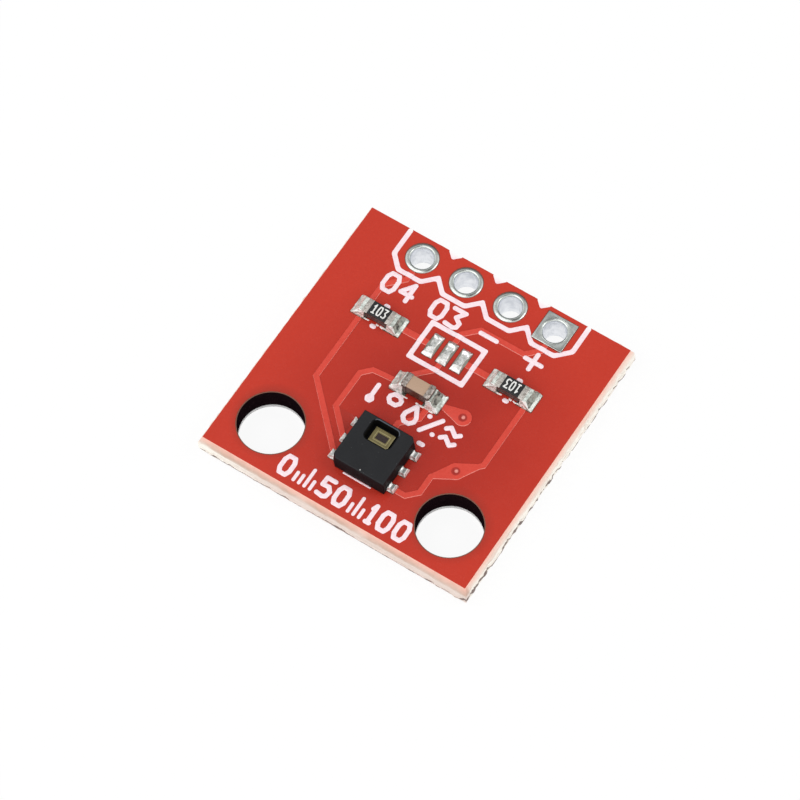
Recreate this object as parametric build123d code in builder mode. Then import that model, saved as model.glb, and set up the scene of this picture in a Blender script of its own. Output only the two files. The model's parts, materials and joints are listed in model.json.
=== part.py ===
from build123d import *
from dataclasses import dataclass, field
from math import radians, tan
import os

os.makedirs("parts", exist_ok=True)

# Board. X runs along the header row, Y from the mounting holes to the header, and Z up from the underside.
# A row's share is its place along Y as a share of the board's depth, and a distance is from the header row
board_width = 15.24
board_depth = 15.24
board_thickness = 1.6
copper_thickness = 0.035
mask_thickness = 0.025
tin_thickness = 0.025
ink_thickness = 0.02
mask_opening_margin = 0.03

# The edges are scored from both faces and snapped, so a web stands out between two slopes
edge_score_depth = 0.47
edge_score_angle = 22.5

# Header row: plated holes for a four-way pin header
header_names = ["clock", "data", "ground", "supply"]
header_pitch = 2.54
header_edge_distance = 1.27
header_pad_diameter = 1.68
header_hole_diameter = 1.16
header_pad_sides = 24
barrel_wall = 0.04

# Mounting holes
mounting_hole_diameter = 3.3
mounting_hole_edge_distance = 2.54
mounting_hole_mask_margin = 0.06
mounting_opening_sides = 32

# Tracks and vias
track_width = 0.24
pullup_track_width = 0.3
clock_track_x = -4.64
clock_bend_distance = 2.25
clock_land_entry = 0.15
supply_link_x = 3.2
supply_link_distance = 1.85
supply_track_x = -2.94
supply_shoulder_width = 0.45
supply_shoulder_drop = 0.13
supply_bend_drop = 0.6
supply_land_entry = 0.3
jumper_entry_run = 0.7
jumper_exit_length = 1.05
ground_track_offset = 0.15
ground_bend_drop = 1.14
data_track_x = 4.75
sensor_data_track_x = 2.95
sensor_data_turn_length = 0.5
data_return_share = 0.19
via_pad_diameter = 0.84
via_hole_diameter = 0.3
via_teardrop_length = 1.1
via_pad_sides = 16
via_hole_sides = 12
via_dimple_diameter = 0.3
via_dimple_depth = 0.06
via_dimple_angle = 45.0
via_plug_depth = 0.1
ground_via_x = 2.55
data_via_x = 3.8
data_via_share = -1 / 6
pour_edge_distance = 0.35
pour_clearance = 0.25
thermal_spoke_width = 0.4

# Pull-up resistors
resistor_length = 1.6
resistor_width = 0.8
resistor_height = 0.45
resistor_terminal_length = 0.28
resistor_glaze_rise = 0.015
resistor_glaze_margin = 0.02
resistor_left_x = -3.8
resistor_right_x = 3.79
resistor_row_share = 1 / 6

# Decoupling capacitor
capacitor_length = 1.6
capacitor_width = 0.8
capacitor_height = 0.8
capacitor_terminal_length = 0.3
capacitor_edge_cut = 0.06
capacitor_ceramic_cut = 0.04
capacitor_x = 0.05
capacitor_y = 0.04

# Plated ends of the chips, and the solder that holds them. The waist is given as shares of climb and reach.
# Small edges and corners are cut rather than rounded, which keeps them light
terminal_wall = 0.035
chip_edge_cut = 0.03
solder_film = 0.03
chip_land_reach = 0.56
chip_land_side_margin = 0.13
solder_land_margin = 0.03
solder_crest_margin = 0.06
solder_corner_cut = 0.09
solder_shoulder_length = 0.14
solder_waist_height = 1 / 3
solder_waist_reach = 1 / 2
resistor_solder_height = 0.36
capacitor_solder_height = 0.58

# Solder jumper: three lands side by side
jumper_x = 0.05
jumper_share = 0.168
jumper_pitch = 0.8
jumper_land_width = 0.56
jumper_land_length = 1.3
jumper_solder_height = 0.12
jumper_solder_edge = 0.08

# Sensor package
sensor_size = 3.0
sensor_height = 0.9
sensor_x = 0.08
sensor_share = -0.256
sensor_corner_chamfer = 0.22
sensor_top_edge = 0.03
sensor_draft_angle = 4.0
sensor_foot_height = 0.22
sensor_lead_pitch = 1.0
sensor_lead_width = 0.4
sensor_lead_length = 0.4
sensor_lead_height = 0.18
sensor_lead_reach = 0.02
sensor_paddle_width = 1.5
sensor_paddle_depth = 2.4
sensor_paddle_height = 0.15
sensor_window_width = 1.46
sensor_window_depth = 1.14
sensor_window_corner = 0.25
sensor_window_recess = 0.5
sensor_window_draft = 8.0
sensor_window_offset_x = -0.06
sensor_window_offset_y = 0.76
die_width = 1.08
die_depth = 0.81
die_height = 0.06
die_frame_height = 0.015
die_opening_width = 0.6
die_opening_depth = 0.34
sensor_land_reach = 0.34
sensor_land_width = 0.46
sensor_solder_height = 0.28
sensor_solder_width = 0.4
sensor_solder_crest_width = 0.28
sensor_solder_shoulder = 0.12

# Printed outlines
ink_width = 0.25
header_outline_gap = 1.16
header_outline_side = 1.31
header_outline_corner = 0.66
header_outline_notch = 0.63
back_notch_depth = 0.4
back_notch_width = 0.84
jumper_outline_width = 3.0
jumper_outline_depth = 2.14

# Levels and places that follow from the sizes above
laminate_bottom = mask_thickness + copper_thickness
laminate_top = board_thickness - mask_thickness
laminate_thickness = laminate_top - laminate_bottom
web_bottom = edge_score_depth
web_top = board_thickness - edge_score_depth
land_top = laminate_top + copper_thickness
ridge_top = land_top + mask_thickness
pad_thickness = copper_thickness + tin_thickness
score_slope = tan(radians(edge_score_angle))
top_inset = (laminate_top - web_top) * score_slope
bottom_inset = (web_bottom - laminate_bottom) * score_slope
top_width = board_width - 2 * top_inset
top_depth = board_depth - 2 * top_inset
bottom_width = board_width - 2 * bottom_inset
bottom_depth = board_depth - 2 * bottom_inset

header_y = board_depth / 2 - header_edge_distance
header_x = [(place - (len(header_names) - 1) / 2) * header_pitch for place in range(len(header_names))]
header_pins = dict(zip(header_names, header_x))
mounting_hole_x = board_width / 2 - mounting_hole_edge_distance
mounting_hole_y = mounting_hole_edge_distance - board_depth / 2
mounting_holes = [(-mounting_hole_x, mounting_hole_y), (mounting_hole_x, mounting_hole_y)]
resistor_row_y = board_depth * resistor_row_share
jumper_y = board_depth * jumper_share
sensor_y = board_depth * sensor_share
data_via_y = board_depth * data_via_share
data_return_length = board_depth * data_return_share
clock_bend_y = header_y - clock_bend_distance
supply_link_y = header_y - supply_link_distance
ground_via = (ground_via_x, capacitor_y)
data_via = (data_via_x, data_via_y)
vias = {"ground": ground_via, "data": data_via}

chip_base = land_top + solder_film
sensor_top = chip_base + sensor_height
sensor_half = sensor_size / 2
window_floor = sensor_top - sensor_window_recess
window_x = sensor_x + sensor_window_offset_x
window_y = sensor_y + sensor_window_offset_y


def chip_lands(x, y, length, width, terminal):
    """The two lands of a chip, as centre, length and width: left one first."""
    offset = (length - terminal + chip_land_reach) / 2
    size = (terminal + chip_land_reach, width + 2 * chip_land_side_margin)
    return [((x - offset, y), *size), ((x + offset, y), *size)]


def sensor_land(side, row):
    """A land under one sensor lead: side is -1 or 1, and row counts from -1 at the front."""
    length = sensor_lead_length + sensor_land_reach
    middle = sensor_half + (sensor_land_reach - sensor_lead_length) / 2
    centre = (sensor_x + side * middle, sensor_y + row * sensor_lead_pitch)
    return (centre, length, sensor_land_width)


def jumper_land(place):
    """A land of the solder jumper: place is -1, 0 or 1."""
    return ((jumper_x + place * jumper_pitch, jumper_y), jumper_land_width, jumper_land_length)


resistor_size = (resistor_length, resistor_width, resistor_terminal_length)
capacitor_size = (capacitor_length, capacitor_width, capacitor_terminal_length)
left_outer, left_inner = chip_lands(resistor_left_x, resistor_row_y, *resistor_size)
right_inner, right_outer = chip_lands(resistor_right_x, resistor_row_y, *resistor_size)
capacitor_supply, capacitor_ground = chip_lands(capacitor_x, capacitor_y, *capacitor_size)
sensor_clock = sensor_land(-1, -1)
sensor_supply = sensor_land(-1, 0)
sensor_ground = sensor_land(1, 0)
sensor_data = sensor_land(1, -1)
spare_lands = [sensor_land(-1, 1), sensor_land(1, 1)]
paddle_land = ((sensor_x, sensor_y), sensor_paddle_width, sensor_paddle_depth)


# Copper outlines
def draw_run(points, width):
    """Adds a run of one width, with square ends and mitred corners, to the sketch being drawn."""
    corners = [Vector(*point) for point in points]
    sideways = []
    for start, end in zip(corners, corners[1:]):
        along = (end - start).normalized()
        sideways.append(Vector(-along.Y, along.X))
    left = []
    right = []
    for corner, before, after in zip(corners, sideways[:1] + sideways, sideways + sideways[-1:]):
        mitre = (before + after).normalized()
        reach = mitre * (width / 2 / mitre.dot(after))
        left.append(corner + reach)
        right.append(corner - reach)
    Polygon(*left, *reversed(right), align=None)


def draw_land(land, grow=0.0):
    """Adds a rectangular land, larger by grow on every side."""
    centre, length, width = land
    with Locations(centre):
        Rectangle(length + 2 * grow, width + 2 * grow)


def draw_teardrop(via, towards, grow=0.0):
    """Adds the wedge of copper that widens a track into a via's pad."""
    centre = Vector(*via)
    along = (Vector(*towards) - centre).normalized()
    across = Vector(-along.Y, along.X) * (via_pad_diameter / 2 + grow)
    tip = centre + along * (via_teardrop_length + grow)
    neck = across.normalized() * (track_width / 2 + grow)
    Polygon(centre + across, centre - across, tip - neck, tip + neck, align=None)


@dataclass
class Net:
    """The copper of one net on one face of the board."""

    runs: list = field(default_factory=list)
    lands: list = field(default_factory=list)
    teardrops: list = field(default_factory=list)
    width: float = track_width

    def draw(self, grow=0.0):
        """Adds the net's outline to the sketch being drawn, larger by grow on every side."""
        for run in self.runs:
            draw_run(run, self.width + 2 * grow)
        for land in self.lands:
            draw_land(land, grow)
        for via, towards in self.teardrops:
            draw_teardrop(via, towards, grow)


def slant(start, x, turn):
    """The point at x on a 45 degree run from start: turn is 1 where the run climbs and -1 where it falls."""
    return (x, start[1] + turn * abs(x - start[0]))


# Clock: header pad, left resistor's outer land, sensor's front left lead
clock_pad = (header_pins["clock"], header_y)
clock_upper = (clock_track_x, clock_bend_y)
clock_entry = (sensor_clock[0][0] - clock_land_entry, sensor_clock[0][1])
clock_lower = (clock_track_x, clock_entry[1] + clock_entry[0] - clock_track_x)
clock_run = [
    clock_pad,
    slant(clock_upper, clock_pad[0], 1),
    clock_upper,
    clock_lower,
    clock_entry,
    sensor_clock[0],
]

# Supply: header pad, middle of the jumper, capacitor, sensor's middle left lead
supply_pad = (header_pins["supply"], header_y)
supply_corner = (supply_link_x, supply_link_y)
supply_turn = (jumper_x + jumper_entry_run, supply_link_y)
jumper_exit = (jumper_x, jumper_y - jumper_exit_length)
supply_capacitor = capacitor_supply[0]
supply_shoulder = (supply_track_x + supply_shoulder_width, capacitor_y - supply_shoulder_drop)
supply_bend = (supply_track_x, capacitor_y - supply_bend_drop)
supply_entry = (sensor_supply[0][0] - supply_land_entry, sensor_supply[0][1])
supply_lower = (supply_track_x, supply_entry[1] + supply_entry[0] - supply_track_x)
supply_header_run = [
    supply_pad,
    slant(supply_corner, supply_pad[0], 1),
    supply_corner,
    supply_turn,
    slant(supply_turn, jumper_x, -1),
    jumper_land(0)[0],
]
supply_jumper_run = [
    jumper_land(0)[0],
    jumper_exit,
    slant(jumper_exit, supply_capacitor[0], -1),
    supply_capacitor,
]
supply_sensor_run = [
    supply_capacitor,
    supply_shoulder,
    supply_bend,
    supply_lower,
    supply_entry,
    sensor_supply[0],
]

# Ground: capacitor, via to the underside, sensor's paddle and middle right lead
ground_bend = (capacitor_ground[0][0] - ground_track_offset, capacitor_y - ground_bend_drop)
ground_sensor_run = [
    (ground_bend[0], capacitor_y),
    ground_bend,
    slant(ground_bend, sensor_x, -1),
    (sensor_x, sensor_y),
    sensor_ground[0],
]

# Data: right resistor's outer land, via to the underside, sensor's front right lead
data_bend = slant(data_via, data_track_x, 1)
sensor_data_bend = slant(data_via, sensor_data_track_x, -1)
sensor_data_turn = (sensor_data_track_x, sensor_data[0][1] + sensor_data_turn_length)
data_resistor_run = [(data_track_x, right_outer[0][1]), data_bend, data_via]
data_sensor_run = [
    data_via,
    sensor_data_bend,
    sensor_data_turn,
    slant(sensor_data_turn, sensor_data_track_x - sensor_data_turn_length, -1),
    sensor_data[0],
]

top_nets = {
    "clock": Net(runs=[clock_run], lands=[left_outer, sensor_clock]),
    "clock_pullup": Net(
        runs=[[left_inner[0], jumper_land(-1)[0]]],
        lands=[left_inner, jumper_land(-1)],
        width=pullup_track_width,
    ),
    "supply": Net(
        runs=[supply_header_run, supply_jumper_run, supply_sensor_run],
        lands=[jumper_land(0), capacitor_supply, sensor_supply],
    ),
    "data_pullup": Net(
        runs=[[jumper_land(1)[0], right_inner[0]]],
        lands=[jumper_land(1), right_inner],
        width=pullup_track_width,
    ),
    "data": Net(
        runs=[data_resistor_run, data_sensor_run],
        lands=[right_outer, sensor_data],
        teardrops=[(data_via, data_bend), (data_via, sensor_data_bend)],
    ),
    "ground": Net(
        runs=[[capacitor_ground[0], ground_via], ground_sensor_run],
        lands=[capacitor_ground, sensor_ground, paddle_land],
        teardrops=[(ground_via, capacitor_ground[0])],
    ),
    "spare": Net(lands=spare_lands),
}

# Underside: the data run back to its header pad, in a ground pour
data_pad = (header_pins["data"], header_y)
return_bend = (data_via_x, data_via_y + data_return_length)
data_return_net = Net(
    runs=[[data_via, return_bend, slant(return_bend, data_pad[0], 1), data_pad]],
    teardrops=[(data_via, return_bend)],
)


def draw_header_pad(name, grow=0.0):
    """Adds a header pad's outline: round, or square where the supply pin goes."""
    size = header_pad_diameter + 2 * grow
    with Locations((header_pins[name], header_y)):
        if name == "supply":
            Rectangle(size, size)
        else:
            RegularPolygon(size / 2, header_pad_sides)


def draw_header_pads(grow=0.0):
    """Adds the outlines of all the header pads."""
    for name in header_names:
        draw_header_pad(name, grow)


def draw_vias(grow=0.0):
    """Adds the outlines of the vias' pads."""
    with Locations(*vias.values()):
        RegularPolygon(via_pad_diameter / 2 + grow, via_pad_sides)


def draw_mounting_holes(grow=0.0):
    """Adds the outlines of the mask's openings round the mounting holes."""
    with Locations(*mounting_holes):
        RegularPolygon(mounting_hole_diameter / 2 + mounting_hole_mask_margin + grow, mounting_opening_sides)


def draw_block(length, width, corner):
    """Adds a rectangle with cut corners."""
    x = length / 2
    y = width / 2
    right = [(x - corner, -y), (x, corner - y), (x, y - corner), (x - corner, y)]
    left = [(corner - x, y), (-x, y - corner), (-x, corner - y), (corner - x, -y)]
    Polygon(*right, *left, align=None)


def draw_pour(grow=0.0):
    """Adds the ground pour's outline, with its clearances and the spokes to the ground pin."""
    gap = pour_clearance - grow
    edge = 2 * (pour_edge_distance - grow)
    Rectangle(bottom_width - edge, bottom_depth - edge)
    with BuildSketch(mode=Mode.PRIVATE) as cleared:
        draw_header_pads(gap)
        data_return_net.draw(gap)
        with Locations(data_via):
            RegularPolygon(via_pad_diameter / 2 + gap, via_pad_sides)
        draw_mounting_holes(gap)
    add(cleared.sketch, mode=Mode.SUBTRACT)
    spoke = header_pad_diameter + 2 * pour_clearance + thermal_spoke_width
    width = thermal_spoke_width + 2 * grow
    with Locations((header_pins["ground"], header_y)):
        Rectangle(spoke, width)
        Rectangle(width, spoke / 2, align=(Align.CENTER, Align.MAX))


with BuildSketch() as top_copper:
    for net in top_nets.values():
        net.draw()
    draw_vias()

with BuildSketch() as top_ridges:
    for net in top_nets.values():
        net.draw(mask_thickness)
    draw_vias(mask_thickness)

with BuildSketch() as ridge_covers:
    for net in top_nets.values():
        net.draw(mask_thickness + ink_thickness)

with BuildSketch() as top_openings:
    draw_header_pads(mask_opening_margin)
    for net in top_nets.values():
        for land in net.lands:
            draw_land(land, mask_opening_margin)
    draw_mounting_holes()

with BuildSketch() as bottom_copper:
    draw_pour()
    data_return_net.draw()
    draw_vias()

with BuildSketch() as bottom_ridges:
    draw_pour(mask_thickness)
    data_return_net.draw(mask_thickness)
    draw_vias(mask_thickness)

with BuildSketch() as bottom_openings:
    draw_header_pads(mask_opening_margin)
    draw_mounting_holes()


# Glass-epoxy laminate: the board itself, scored and snapped along its edges and drilled
with BuildPart() as board_laminate:
    with BuildSketch(Plane.XY.offset(web_bottom)):
        Rectangle(board_width, board_depth)
    extrude(amount=web_top - web_bottom)
    with BuildSketch(Plane.XY.offset(web_top)):
        Rectangle(board_width, board_depth)
    extrude(amount=laminate_top - web_top, taper=edge_score_angle)
    with BuildSketch(Plane.XY.offset(web_bottom)):
        Rectangle(board_width, board_depth)
    extrude(amount=laminate_bottom - web_bottom, taper=edge_score_angle)
    with Locations(*[(x, y, laminate_top) for x, y in mounting_holes]):
        Hole(mounting_hole_diameter / 2)
    with BuildSketch(Plane.XY.offset(laminate_top)):
        with Locations(*[(x, header_y) for x in header_x]):
            RegularPolygon(header_hole_diameter / 2 + barrel_wall, header_pad_sides)
        with Locations(*vias.values()):
            RegularPolygon(via_hole_diameter / 2 + barrel_wall, via_hole_sides)
    extrude(amount=-laminate_thickness, mode=Mode.SUBTRACT)
board_laminate.part.label = "board_laminate"
export_step(board_laminate.part, "parts/board_laminate.step")


# Plated header holes: a barrel through the board with a pad on each face
for name, x in header_pins.items():
    with BuildPart() as header_pad:
        with BuildSketch(Plane.XY.offset(laminate_bottom)):
            with Locations((x, header_y)):
                RegularPolygon(header_hole_diameter / 2 + barrel_wall, header_pad_sides)
        extrude(amount=laminate_thickness)
        for level in (laminate_bottom - pad_thickness, laminate_top):
            with BuildSketch(Plane.XY.offset(level)):
                draw_header_pad(name)
            extrude(amount=pad_thickness)
        with Locations((x, header_y, laminate_top + pad_thickness)):
            Hole(header_hole_diameter / 2)
    header_pad.part.label = f"header_pad_{name}"
    export_step(header_pad.part, f"parts/header_pad_{name}.step")


# Vias: a thin barrel with a ring on each face, under the solder mask
for name, (x, y) in vias.items():
    with BuildPart() as via:
        with BuildSketch(Plane.XY.offset(laminate_bottom)):
            with Locations((x, y)):
                RegularPolygon(via_hole_diameter / 2 + barrel_wall, via_hole_sides)
        extrude(amount=laminate_thickness)
        for level in (laminate_bottom - copper_thickness, laminate_top):
            with BuildSketch(Plane.XY.offset(level)):
                with Locations((x, y)):
                    RegularPolygon(via_pad_diameter / 2, via_pad_sides)
            extrude(amount=copper_thickness)
        with BuildSketch(Plane.XY.offset(land_top)):
            with Locations((x, y)):
                RegularPolygon(via_hole_diameter / 2, via_hole_sides)
        extrude(amount=mask_thickness - land_top, mode=Mode.SUBTRACT)
    via.part.label = f"via_{name}"
    export_step(via.part, f"parts/via_{name}.step")


# Tracks and lands on the top face
for name, net in top_nets.items():
    with BuildPart() as track:
        with BuildSketch(Plane.XY.offset(laminate_top)):
            net.draw()
            with BuildSketch(mode=Mode.PRIVATE) as pads:
                draw_header_pads()
                draw_vias()
            add(pads.sketch, mode=Mode.SUBTRACT)
        extrude(amount=copper_thickness)
    track.part.label = f"track_{name}"
    export_step(track.part, f"parts/track_{name}.step")


# Copper on the underside
with BuildPart() as track_data_return:
    with BuildSketch(Plane.XY.offset(mask_thickness)):
        data_return_net.draw()
        with BuildSketch(mode=Mode.PRIVATE) as pads:
            draw_header_pads()
            draw_vias()
        add(pads.sketch, mode=Mode.SUBTRACT)
    extrude(amount=copper_thickness)
track_data_return.part.label = "track_data_return"
export_step(track_data_return.part, "parts/track_data_return.step")

with BuildPart() as ground_pour:
    with BuildSketch(Plane.XY.offset(mask_thickness)):
        draw_pour()
        with BuildSketch(mode=Mode.PRIVATE) as pads:
            draw_header_pads()
            draw_vias()
        add(pads.sketch, mode=Mode.SUBTRACT)
    extrude(amount=copper_thickness)
ground_pour.part.label = "ground_pour"
export_step(ground_pour.part, "parts/ground_pour.step")


# Solder mask on the top face: a thin coat that rises over the tracks and closes the vias
with BuildPart() as solder_mask_top:
    with BuildSketch(Plane.XY.offset(laminate_top)):
        Rectangle(top_width, top_depth)
        add(top_openings.sketch, mode=Mode.SUBTRACT)
    extrude(amount=mask_thickness)
    with BuildSketch(Plane.XY.offset(laminate_top)):
        add(top_ridges.sketch)
        add(top_openings.sketch, mode=Mode.SUBTRACT)
    extrude(amount=copper_thickness + mask_thickness)
    with BuildSketch(Plane.XY.offset(laminate_top)):
        add(top_copper.sketch)
    extrude(amount=copper_thickness, mode=Mode.SUBTRACT)
    with BuildSketch(Plane.XY.offset(land_top)):
        with Locations(*vias.values()):
            RegularPolygon(via_hole_diameter / 2, via_hole_sides)
    extrude(amount=-via_plug_depth)
    with BuildSketch(Plane.XY.offset(ridge_top)):
        with Locations(*vias.values()):
            RegularPolygon(via_dimple_diameter / 2, via_hole_sides)
    extrude(amount=-via_dimple_depth, taper=via_dimple_angle, mode=Mode.SUBTRACT)
solder_mask_top.part.label = "solder_mask_top"
export_step(solder_mask_top.part, "parts/solder_mask_top.step")


# Solder mask on the underside, over the pour and the data run
with BuildPart() as solder_mask_bottom:
    with BuildSketch(Plane.XY.offset(laminate_bottom)):
        Rectangle(bottom_width, bottom_depth)
        add(bottom_copper.sketch, mode=Mode.SUBTRACT)
        add(bottom_openings.sketch, mode=Mode.SUBTRACT)
    extrude(amount=-mask_thickness)
    with BuildSketch(Plane.XY.offset(laminate_bottom)):
        add(bottom_ridges.sketch)
        add(bottom_copper.sketch, mode=Mode.SUBTRACT)
        add(bottom_openings.sketch, mode=Mode.SUBTRACT)
    extrude(amount=-copper_thickness)
    with BuildSketch(Plane.XY.offset(mask_thickness)):
        add(bottom_ridges.sketch)
        add(bottom_openings.sketch, mode=Mode.SUBTRACT)
    extrude(amount=-mask_thickness)
solder_mask_bottom.part.label = "solder_mask_bottom"
export_step(solder_mask_bottom.part, "parts/solder_mask_bottom.step")


# Printed outlines
def draw_header_outline():
    """Adds the outline round the header row, notched between the pins."""
    front = header_y - header_outline_gap
    back = board_depth / 2
    left = header_x[0] - header_outline_side
    right = header_x[-1] + header_outline_side
    points = [(left, back), (left, front + header_outline_corner), (left + header_outline_corner, front)]
    for start, end in zip(header_x, header_x[1:]):
        x = (start + end) / 2
        points += [
            (x - header_outline_notch, front),
            (x, front + header_outline_notch),
            (x + header_outline_notch, front),
        ]
    points += [(right - header_outline_corner, front), (right, front + header_outline_corner), (right, back)]
    draw_run(points, ink_width)


def draw_back_notches():
    """Adds the tips of the outline's far notches, which the board's back edge cuts off."""
    back = top_depth / 2
    for start, end in zip(header_x, header_x[1:]):
        x = (start + end) / 2
        half_width = back_notch_width / 2
        Polygon((x - half_width, back), (x, back - back_notch_depth), (x + half_width, back), align=None)


def draw_jumper_outline():
    """Adds the box round the solder jumper."""
    with BuildSketch(mode=Mode.PRIVATE) as box:
        with Locations((jumper_x, jumper_y)):
            Rectangle(jumper_outline_width + ink_width, jumper_outline_depth + ink_width)
            Rectangle(jumper_outline_width - ink_width, jumper_outline_depth - ink_width, mode=Mode.SUBTRACT)
    add(box.sketch)


with BuildSketch() as printing:
    draw_header_outline()
    draw_back_notches()
    draw_jumper_outline()
    Rectangle(top_width, top_depth, mode=Mode.INTERSECT)
    add(top_openings.sketch, mode=Mode.SUBTRACT)

with BuildPart() as silkscreen_top:
    with BuildSketch(Plane.XY.offset(board_thickness)):
        add(printing.sketch)
    extrude(amount=ink_thickness)
    with BuildSketch(Plane.XY.offset(board_thickness)):
        add(printing.sketch)
        add(ridge_covers.sketch, mode=Mode.INTERSECT)
    extrude(amount=copper_thickness + ink_thickness)
    with BuildSketch(Plane.XY.offset(board_thickness)):
        add(top_ridges.sketch)
    extrude(amount=copper_thickness, mode=Mode.SUBTRACT)
silkscreen_top.part.label = "silkscreen_top"
export_step(silkscreen_top.part, "parts/silkscreen_top.step")


# Chips
def make_terminals(x, y, length, width, height, terminal, edge_cut, core):
    """The two plated ends of a chip: its outer block, less the middle and the core."""
    seat = Plane((x, y, chip_base))
    with BuildPart() as terminals:
        with BuildSketch(seat):
            Rectangle(length, width)
        extrude(amount=height)
        chamfer(terminals.edges(), edge_cut)
        with BuildSketch(seat):
            Rectangle(length - 2 * terminal, 2 * width)
        extrude(amount=height, mode=Mode.SUBTRACT)
        add(core, mode=Mode.SUBTRACT)
    return terminals.part


def make_chip_solder(x, y, length, width, height, terminal, climb):
    """Solder at both ends of a chip: a film under each terminal, and a hollow fillet that climbs its end."""
    seat = Plane((x, y, land_top))
    inner = length / 2 - terminal
    foot_length = terminal + chip_land_reach - solder_land_margin
    foot_width = width + 2 * chip_land_side_margin - 2 * solder_land_margin
    waist_length = terminal + chip_land_reach * solder_waist_reach
    waist_width = (foot_width + width) / 2
    crest_length = terminal + solder_shoulder_length
    levels = [
        (0.0, foot_length, foot_width),
        (climb * solder_waist_height, waist_length, waist_width),
        (climb, crest_length, width - 2 * solder_crest_margin),
    ]
    with BuildPart() as solder:
        for level, section_length, section_width in levels:
            with BuildSketch(seat.offset(level)):
                with Locations((inner + section_length / 2, 0)):
                    draw_block(section_length, section_width, solder_corner_cut)
        loft(ruled=True)
        with BuildSketch(seat.offset(solder_film)):
            Rectangle(length, 2 * width)
        extrude(amount=height, mode=Mode.SUBTRACT)
        mirror(about=Plane.YZ.offset(x))
    return solder.part


for side, x in (("left", resistor_left_x), ("right", resistor_right_x)):
    with BuildPart() as resistor_ceramic:
        with BuildSketch(Plane((x, resistor_row_y, chip_base + terminal_wall))):
            Rectangle(resistor_length - 2 * terminal_wall, resistor_width)
        extrude(amount=resistor_height - 2 * terminal_wall)
    resistor_ceramic.part.label = f"resistor_{side}_ceramic"
    export_step(resistor_ceramic.part, f"parts/resistor_{side}_ceramic.step")

    with BuildPart() as resistor_glaze:
        with BuildSketch(Plane((x, resistor_row_y, chip_base + resistor_height - terminal_wall))):
            glaze_width = resistor_width - 2 * resistor_glaze_margin
            Rectangle(resistor_length - 2 * resistor_terminal_length, glaze_width)
        extrude(amount=terminal_wall + resistor_glaze_rise)
        chamfer(resistor_glaze.edges().group_by(Axis.Z)[-1], resistor_glaze_rise)
    resistor_glaze.part.label = f"resistor_{side}_glaze"
    export_step(resistor_glaze.part, f"parts/resistor_{side}_glaze.step")

    resistor_terminals = make_terminals(
        x,
        resistor_row_y,
        resistor_length,
        resistor_width,
        resistor_height,
        resistor_terminal_length,
        chip_edge_cut,
        resistor_ceramic.part,
    )
    resistor_terminals.label = f"resistor_{side}_terminals"
    export_step(resistor_terminals, f"parts/resistor_{side}_terminals.step")

    resistor_solder = make_chip_solder(
        x,
        resistor_row_y,
        resistor_length,
        resistor_width,
        resistor_height,
        resistor_terminal_length,
        resistor_solder_height,
    )
    resistor_solder.label = f"resistor_{side}_solder"
    export_step(resistor_solder, f"parts/resistor_{side}_solder.step")


with BuildPart() as capacitor_body:
    with BuildSketch(Plane((capacitor_x, capacitor_y, chip_base + terminal_wall))):
        Rectangle(capacitor_length - 2 * terminal_wall, capacitor_width - 2 * terminal_wall)
    extrude(amount=capacitor_height - 2 * terminal_wall)
    chamfer(capacitor_body.edges(), capacitor_ceramic_cut)
capacitor_body.part.label = "capacitor_body"
export_step(capacitor_body.part, "parts/capacitor_body.step")

capacitor_terminals = make_terminals(
    capacitor_x,
    capacitor_y,
    capacitor_length,
    capacitor_width,
    capacitor_height,
    capacitor_terminal_length,
    capacitor_edge_cut,
    capacitor_body.part,
)
capacitor_terminals.label = "capacitor_terminals"
export_step(capacitor_terminals, "parts/capacitor_terminals.step")

capacitor_solder = make_chip_solder(
    capacitor_x,
    capacitor_y,
    capacitor_length,
    capacitor_width,
    capacitor_height,
    capacitor_terminal_length,
    capacitor_solder_height,
)
capacitor_solder.label = "capacitor_solder"
export_step(capacitor_solder, "parts/capacitor_solder.step")


# Solder jumper: a dome of solder on each of its lands
with BuildPart() as jumper_solder:
    with BuildSketch(Plane.XY.offset(land_top)):
        for place in (-1, 0, 1):
            with Locations(jumper_land(place)[0]):
                draw_block(
                    jumper_land_width - 2 * solder_land_margin,
                    jumper_land_length - 2 * solder_land_margin,
                    solder_corner_cut,
                )
    extrude(amount=jumper_solder_height)
    chamfer(jumper_solder.edges().group_by(Axis.Z)[-1], jumper_solder_edge)
jumper_solder.part.label = "jumper_solder"
export_step(jumper_solder.part, "parts/jumper_solder.step")


# Sensor package
sensor_rows = (-1, 0, 1)
lead_offset = sensor_half + (sensor_lead_reach - sensor_lead_length) / 2
lead_places = [
    (sensor_x + side * lead_offset, sensor_y + row * sensor_lead_pitch)
    for side in (-1, 1)
    for row in sensor_rows
]

with BuildPart() as sensor_leads:
    with BuildSketch(Plane.XY.offset(chip_base)):
        with Locations(*lead_places):
            Rectangle(sensor_lead_length + sensor_lead_reach, sensor_lead_width)
    extrude(amount=sensor_lead_height)
sensor_leads.part.label = "sensor_leads"
export_step(sensor_leads.part, "parts/sensor_leads.step")

with BuildPart() as sensor_paddle:
    with BuildSketch(Plane((sensor_x, sensor_y, chip_base))):
        Rectangle(sensor_paddle_width, sensor_paddle_depth)
    extrude(amount=sensor_paddle_height)
sensor_paddle.part.label = "sensor_paddle"
export_step(sensor_paddle.part, "parts/sensor_paddle.step")


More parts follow.
